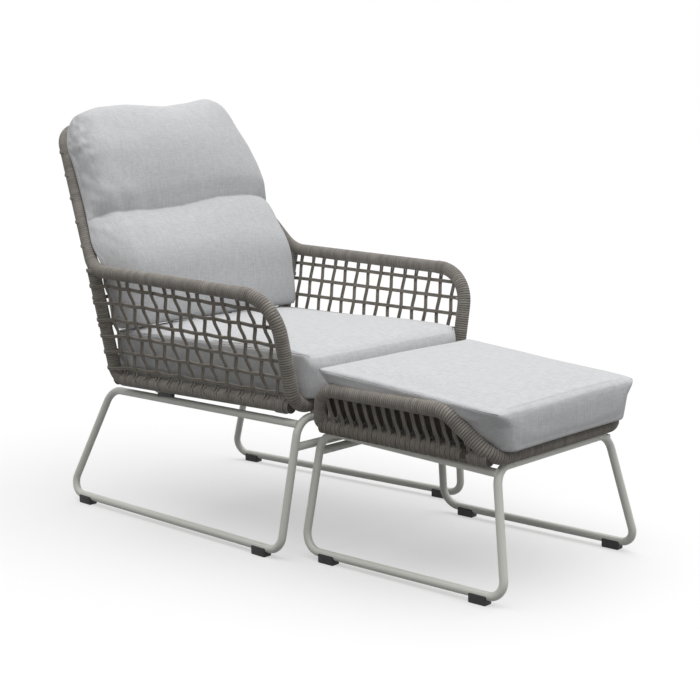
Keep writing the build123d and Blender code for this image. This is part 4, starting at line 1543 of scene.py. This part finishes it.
    def sew(self, pad: Piece, cube: np.ndarray) -> None:
        """Sinks the seam's groove into the cover and lays its thread."""
        a, _, c = cube.T
        points = self.places(pad)
        edge = (np.abs(a) > 0.999) & (c > 0.999)
        side = np.sign(a)
        sunk = points.copy()
        sunk[edge, 0] -= side[edge] * self.seam.groove[0]
        sunk[edge, 2] -= self.seam.groove[1]
        self.put(pad, sunk)
        threads = []
        for sign in (-1.0, 1.0):
            ring = np.nonzero(edge & (side == sign))[0]
            ring = ring[np.argsort(points[ring, 1])]
            line = self.seam.shifted([Vector(points[i]) * MM for i in ring], sign, self.seam.thread)
            cord = CordBundle(f"{self.name}_seam_{sign:.0f}", self.seam.thread_radius, rounding=1, steps=1)
            cord.lay(line)
            threads.append(cord.mesh())
            line = self.seam.shifted(line[2:-2], sign, self.seam.stitches)
            threads.append(self.seam.stitch(f"{self.name}_stitch_{sign:.0f}", line))
        THREAD.dress(joined(threads, f"{self.name}_stitches"), self.body)


@dataclass(frozen=True)
class BackPad(Cushion):
    """The back cushion: a fuller upper lobe that rolls over a crease above a flatter lower lobe.

    The crease's and the crest's lines are places across and the heights that they add.
    """

    cuts: int = 63
    elbow: tuple[float, float] = (250.0, 622.0)
    top: tuple[float, float] = (502.0, 960.0)
    rail_y: float = 246.0
    gaps: tuple[float, float] = (-2.4, 2.6)  # from the wound tubes to the rear side, below and above the elbow
    elbow_reach: float = 60.0  # how far from the elbow the rear side bends
    foot: float = -146.0  # heights from the elbow along the back
    crease: float = 128.0
    height: float = 446.0
    lower_part: float = 0.46  # the share of the cube's rows that the lower lobe has
    crowding: float = 0.75  # how much closer together the rows stand at a lobe's ends
    rows: tuple[tuple[float, ...], ...] = (
        # height from the elbow, tilt, thickness, crown, half width behind, in front, inset at the right
        (-146.0, 0.0, 66.0, 4.0, 322.0, 312.0, -2.0),
        (-90.0, 4.0, 72.0, 16.0, 332.0, 316.0, 14.0),
        (0.0, 20.0, 62.0, 28.0, 350.0, 322.0, 42.0),
        (50.0, 26.0, 60.0, 28.0, 356.0, 323.0, 50.0),
        (96.0, 32.0, 60.0, 22.0, 340.0, 317.0, 30.0),
        (128.0, 36.7, 62.0, 16.0, 329.0, 309.0, 12.0),
        (200.0, 36.7, 78.0, 28.0, 310.0, 308.0, -1.0),
        (290.0, 36.7, 92.0, 30.0, 288.0, 301.0, -2.0),
        (380.0, 36.7, 90.0, 22.0, 267.0, 288.0, -4.0),
        (446.0, 36.7, 76.0, 8.0, 250.0, 270.0, -5.0),
    )
    fold_reach: tuple[float, float] = (50.0, 70.0)  # how far the crease's fold goes, above and below it
    end_radii: tuple[float, float] = (46.0, 22.0)  # above and below
    corner: float = 78.0
    crease_line: tuple[tuple[float, ...], ...] = ((-290, -180, -60, 80, 190, 290), (0, -9, -7, 10, 13, 10))
    crest_line: tuple[tuple[float, ...], ...] = (
        (-262, -230, -174, -93, 0, 55, 144, 210, 250, 268),
        (-38, -17, -4, 1, -2, -3, 6, 18, 16, 3),
    )
    seed: float = 3.0

    def heights(self, c: np.ndarray) -> np.ndarray:
        """Spreads the cube's rows over the two lobes, closer together at the crease and at both ends."""
        share = (c + 1.0) / 2.0
        part = self.lower_part
        lower, upper = [np.clip(t, 0.0, 1.0) for t in (share / part, (share - part) / (1.0 - part))]
        lower, upper = [
            (1.0 - np.cos(t * math.pi)) / 2.0 * self.crowding + t * (1.0 - self.crowding)
            for t in (lower, upper)
        ]
        low = self.foot + (self.crease - self.foot) * lower
        return np.where(share <= part, low, self.crease + (self.height - self.crease) * upper)

    def rear_side(self, s: np.ndarray) -> tuple[np.ndarray, np.ndarray]:
        """Finds the rear side's depth and height: upright behind the seat, and raked along the posts."""
        rake = math.atan2(self.top[0] - self.elbow[0], self.top[1] - self.elbow[1])
        low_behind, behind = [WRAP_R + gap for gap in self.gaps]
        blend = eased(s, -self.elbow_reach, self.elbow_reach)
        high_y = self.elbow[0] - behind * math.cos(rake) + s * math.sin(rake)
        high_z = behind * math.sin(rake) + s * math.cos(rake)
        y = (self.rail_y - low_behind) * (1.0 - blend) + high_y * blend
        return y, self.elbow[1] + s * (1.0 - blend) + high_z * blend

    def shape(self, cube: np.ndarray) -> np.ndarray:
        """Turns the cube into two lobes that lean against the posts."""
        a, b, c = cube.T
        a = np.sign(a) * (1.0 - (1.0 - np.abs(a)) ** 1.3)
        ahead = (1.0 - b) / 2.0
        s = self.heights(c)
        heights, *columns = np.array(self.rows).T
        tilt, thick, crown, behind_half, ahead_half, inset = [
            np.mean([np.interp(s + shift, heights, column) for shift in range(-30, 31, 10)], axis=0)
            for column in columns
        ]

        # The section, rounded at the sides and narrower in front
        front_r, rear_r = np.minimum(60.0, thick * 0.8), np.minimum(9.0, thick * 0.12)
        half = behind_half - inset * (a > 0)
        x, depth = a * half, (ahead - 0.5) * thick
        edge = np.where(depth > thick / 2 - front_r, front_r, rear_r)
        core_x = np.clip(x, edge - half, half - edge)
        core_depth = np.clip(depth, rear_r - thick / 2, thick / 2 - front_r)
        dx, dd = x - core_x, depth - core_depth
        scale = np.maximum(np.abs(dx), np.abs(dd)) / np.maximum(np.hypot(dx, dd), 1e-9)
        x, depth = core_x + dx * scale, core_depth + dd * scale + thick / 2
        across = np.abs(x / half)
        x = x * (1.0 - (behind_half - ahead_half) / behind_half * np.clip(depth / thick, 0.0, 1.0))
        depth = depth + crown * np.clip(1.0 - across**2.4, 0.0, 1.0) * ahead

        # The crease, deeper at its ends, and the rounding of the upper and lower end
        rise = s - self.crease
        above, below = self.fold_reach
        fold = quarter_round(np.where(rise >= 0.0, rise / above, -rise / below))
        dip = 24.0 + 12.0 * np.clip(rise / 20.0, 0.0, 1.0) + 9.0 * eased(np.abs(a), 0.72, 1.0)
        depth = depth - dip * (1.0 - fold) * ahead
        middle = thick * 0.42
        for gap, radius in zip((self.height - s, s - self.foot), self.end_radii):
            depth = middle + (depth - middle) * (0.12 + 0.88 * quarter_round(gap / radius))
        corner = np.clip((s - (self.height - self.corner)) / self.corner, 0.0, 1.0)
        x = x * (1.0 - 0.15 * (1.0 - np.sqrt(1.0 - corner**2 * 0.98)))

        # Its place against the posts
        angle = np.radians(tilt)
        y, z = self.rear_side(s)
        y = y - depth * np.cos(angle)
        z = z + depth * np.sin(angle)
        z = z + np.interp(x, *self.crease_line) * np.exp(-((rise / 90.0) ** 2))
        z = z + np.interp(x, *self.crest_line) * eased(s, self.height - 170.0, self.height)
        return np.stack((x, y + PAIR_SHIFT, z), axis=1)

    def held(self, cube: np.ndarray) -> np.ndarray:
        """Holds the rear side, the bottom and the crease."""
        _, b, c = cube.T
        crease = np.exp(-(((self.heights(c) - self.crease) / 6.0) ** 2)) * (b < 0.2)
        rest = np.maximum(eased(b, 0.5, 1.0), eased(-c, 0.9, 1.0))
        return np.clip(np.maximum(rest, crease), 0.0, 1.0)

    def pucker(self, cube: np.ndarray, points: np.ndarray) -> np.ndarray:
        """Gathers the cover along the left seam and beside the crease's ends."""
        a, b, c = cube.T
        s = self.heights(c)
        left = eased(-a, 0.1, 0.9)
        edge = (1.0 - np.abs(a)) * 290.0
        side = np.exp(-((edge / 42.0) ** 1.5)) * (b < 0.6)
        crease = np.exp(-np.abs(s - self.crease) / 38.0) * (b < 0.6)
        strength = np.where(a < 0, 5.0, 1.5) * (0.35 + 0.65 * eased(s, 150.0, 330.0))
        gather = ripple(points * np.array([0.22, 0.5, 1.0]), 14.0, self.seed)
        pull = ripple(points * np.array([1.0, 0.3, 0.5]), 34.0, self.seed + 2.0)
        pleat = ripple(points * np.array([0.75, 0.3, -0.9]), 60.0, self.seed + 5.0)
        wander = ripple(points, 150.0, self.seed + 7.0)
        out = strength * side * gather + crease * 8.0 * pull * (0.12 + 0.88 * left)
        out = (out + 2.8 * pleat * left + 1.4 * wander) * eased(-b, -0.9, 0.3)
        return points + np.stack((np.sign(a) * side * gather * strength * 0.7, -out * 0.8, out * 0.45), axis=1)


# Light, floor and camera


@dataclass(frozen=True)
class Studio:
    """A pale floor, soft light from above and the photograph's camera."""

    eye: tuple[float, float, float] = (-2779.0, -2674.5, 1046.7)
    target: tuple[float, float, float] = (0.0, -274.2, 434.8)
    focal_px: float = 1523.8
    photo_px: float = 700.0
    sensor: float = 36.0
    sky_share: float = 0.36
    sun_share: float = 0.76
    sun_angle: float = 85.0
    sun_from: tuple[float, float, float] = (0.12, -0.1, 1.0)
    floor_glow: float = 0.5

    def build(self) -> None:
        """Builds the floor, the world, the lamp and the camera."""
        self.build_floor()
        self.build_world()
        self.build_sun()
        self.build_camera()

    def build_floor(self) -> None:
        """Lays the floor, white to the camera and plain grey to the light that it throws back."""
        clear_selection()
        bpy.ops.mesh.primitive_circle_add(vertices=96, radius=30.0, fill_type="NGON")
        floor = begun("studio_floor")
        finish = bpy.data.materials.new("studio_floor_paint")
        finish.use_nodes = True
        nodes = Nodes(finish.node_tree)
        seen = nodes.seen()
        white, grey = [
            nodes.add("ShaderNodeBsdfDiffuse", {"in:Color": (tone, tone, tone, 1.0)}).outputs[0]
            for tone in (0.94, 0.2)
        ]
        glow = nodes.add("ShaderNodeEmission", {"in:Strength": 1.0}).outputs[0]
        paint = nodes.add("ShaderNodeMixShader", {"in:0": self.floor_glow}, _1=white, _2=glow).outputs[0]
        mixed = nodes.add("ShaderNodeMixShader", None, _0=seen, _1=grey, _2=paint).outputs[0]
        nodes.add("ShaderNodeOutputMaterial", Surface=mixed)
        floor.data.materials.append(finish)

    def build_world(self) -> None:
        """Lights the scene with an even pale sky that the camera sees as white."""
        world = bpy.data.worlds.new("studio_sky")
        bpy.context.scene.world = world
        world.use_nodes = True
        nodes = Nodes(world.node_tree)
        seen = nodes.seen()
        dim, white = [
            nodes.add("ShaderNodeBackground", {"in:Color": (1.0,) * 4, "in:Strength": strength}).outputs[0]
            for strength in (self.sky_share, 1.0)
        ]
        mixed = nodes.add("ShaderNodeMixShader", None, _0=seen, _1=dim, _2=white).outputs[0]
        nodes.add("ShaderNodeOutputWorld", Surface=mixed)

    def build_sun(self) -> None:
        """Hangs one very wide sun overhead, as even as a ceiling of soft boxes."""
        data = bpy.data.lights.new("ceiling_of_soft_boxes", "SUN")
        data.angle = math.radians(self.sun_angle)
        data.energy = self.sun_share * math.pi
        lamp = linked("ceiling_of_soft_boxes", data)
        lamp.location = (0.0, 0.0, 3.0)
        lamp.rotation_euler = (-Vector(self.sun_from)).to_track_quat("-Z", "Y").to_euler()

    def build_camera(self) -> None:
        """Sets the camera where the photograph was taken from."""
        eye, target = spot(*self.eye), spot(*self.target)
        data = bpy.data.cameras.new("photo_camera")
        data.sensor_width = self.sensor
        data.lens = self.focal_px / self.photo_px * self.sensor
        data.clip_end = 100.0
        camera = linked("photo_camera", data)
        camera.location = eye
        camera.rotation_euler = (target - eye).to_track_quat("-Z", "Y").to_euler()
        bpy.context.scene.camera = camera


CHAIR_BASE = Base(
    body=Body.CHAIR,
    word="chair",
    rear_top=(255.0, 317.0, 300.0),
    front_top=(298.0, -378.0, 324.0),
    rear_floor=(304.0, 435.0, FLOOR_Z),
    front_floor=(344.0, -361.0, FLOOR_Z),
    bends=(55.0, 34.0, 38.0, 45.0),
    rail_drop=11.0,
    stretcher_drop=64.0,
    stretcher_in_front=True,
)
STOOL_BASE = Base(
    body=Body.STOOL,
    word="stool",
    rear_top=(218.0, -401.0, 293.5),
    front_top=(218.0, -887.0, 306.0 - math.sqrt((WRAP_R + TUBE_R + 1.5) ** 2 - 10.0**2)),
    rear_floor=(264.0, -385.5, FLOOR_Z),
    front_floor=(263.5, -945.0, FLOOR_Z),
    bends=(50.0, 44.0, 33.0, 45.0),
    rail_drop=9.5,
    stretcher_drop=48.0,
    stretcher_in_front=False,
)
SEAT_PAD = BoxPad("seat_cushion", "seat_pad", Body.SEAT_CUSHION)
BACK_PAD = BackPad("back_cushion", "back_pad", Body.BACK_CUSHION, fill=0.7)
STOOL_PAD = BoxPad(
    "stool_cushion",
    "stool_pad",
    Body.STOOL_CUSHION,
    middle=STOOL_X + 2.0,
    profile=((0.0, 226.0, 229.0), (0.62, 250.0, 251.0), (0.93, 281.0, 272.0), (1.0, 284.0, 275.0)),
    rear=-440.0,
    front=-931.0,
    rail_rear=(-417.0, 314.0),
    rail_front=(-897.0, 306.0),
    thick_rear=121.0,
    thick_front=89.0,
    crown=12.0,
    corner=27.0,
    rear_corner=27.0,
    front_edge=15.0,
    ear=6.0,
    ear_lift=2.0,
    draw_in=3.0,
    seed=6.0,
)


def main() -> None:
    """Loads the frame and builds every sub-assembly in order."""
    logging.basicConfig(level=logging.INFO, format="%(name)s: %(message)s")
    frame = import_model()
    clear_selection()
    bpy.context.scene.view_settings.view_transform = "Standard"
    Studio().build()
    Shell().build()
    CHAIR_BASE.build()
    StoolShell().build()
    STOOL_BASE.build()
    build_spacers(frame)
    for pad in (SEAT_PAD, BACK_PAD, STOOL_PAD):
        pad.build()


if __name__ == "__main__":
    main()
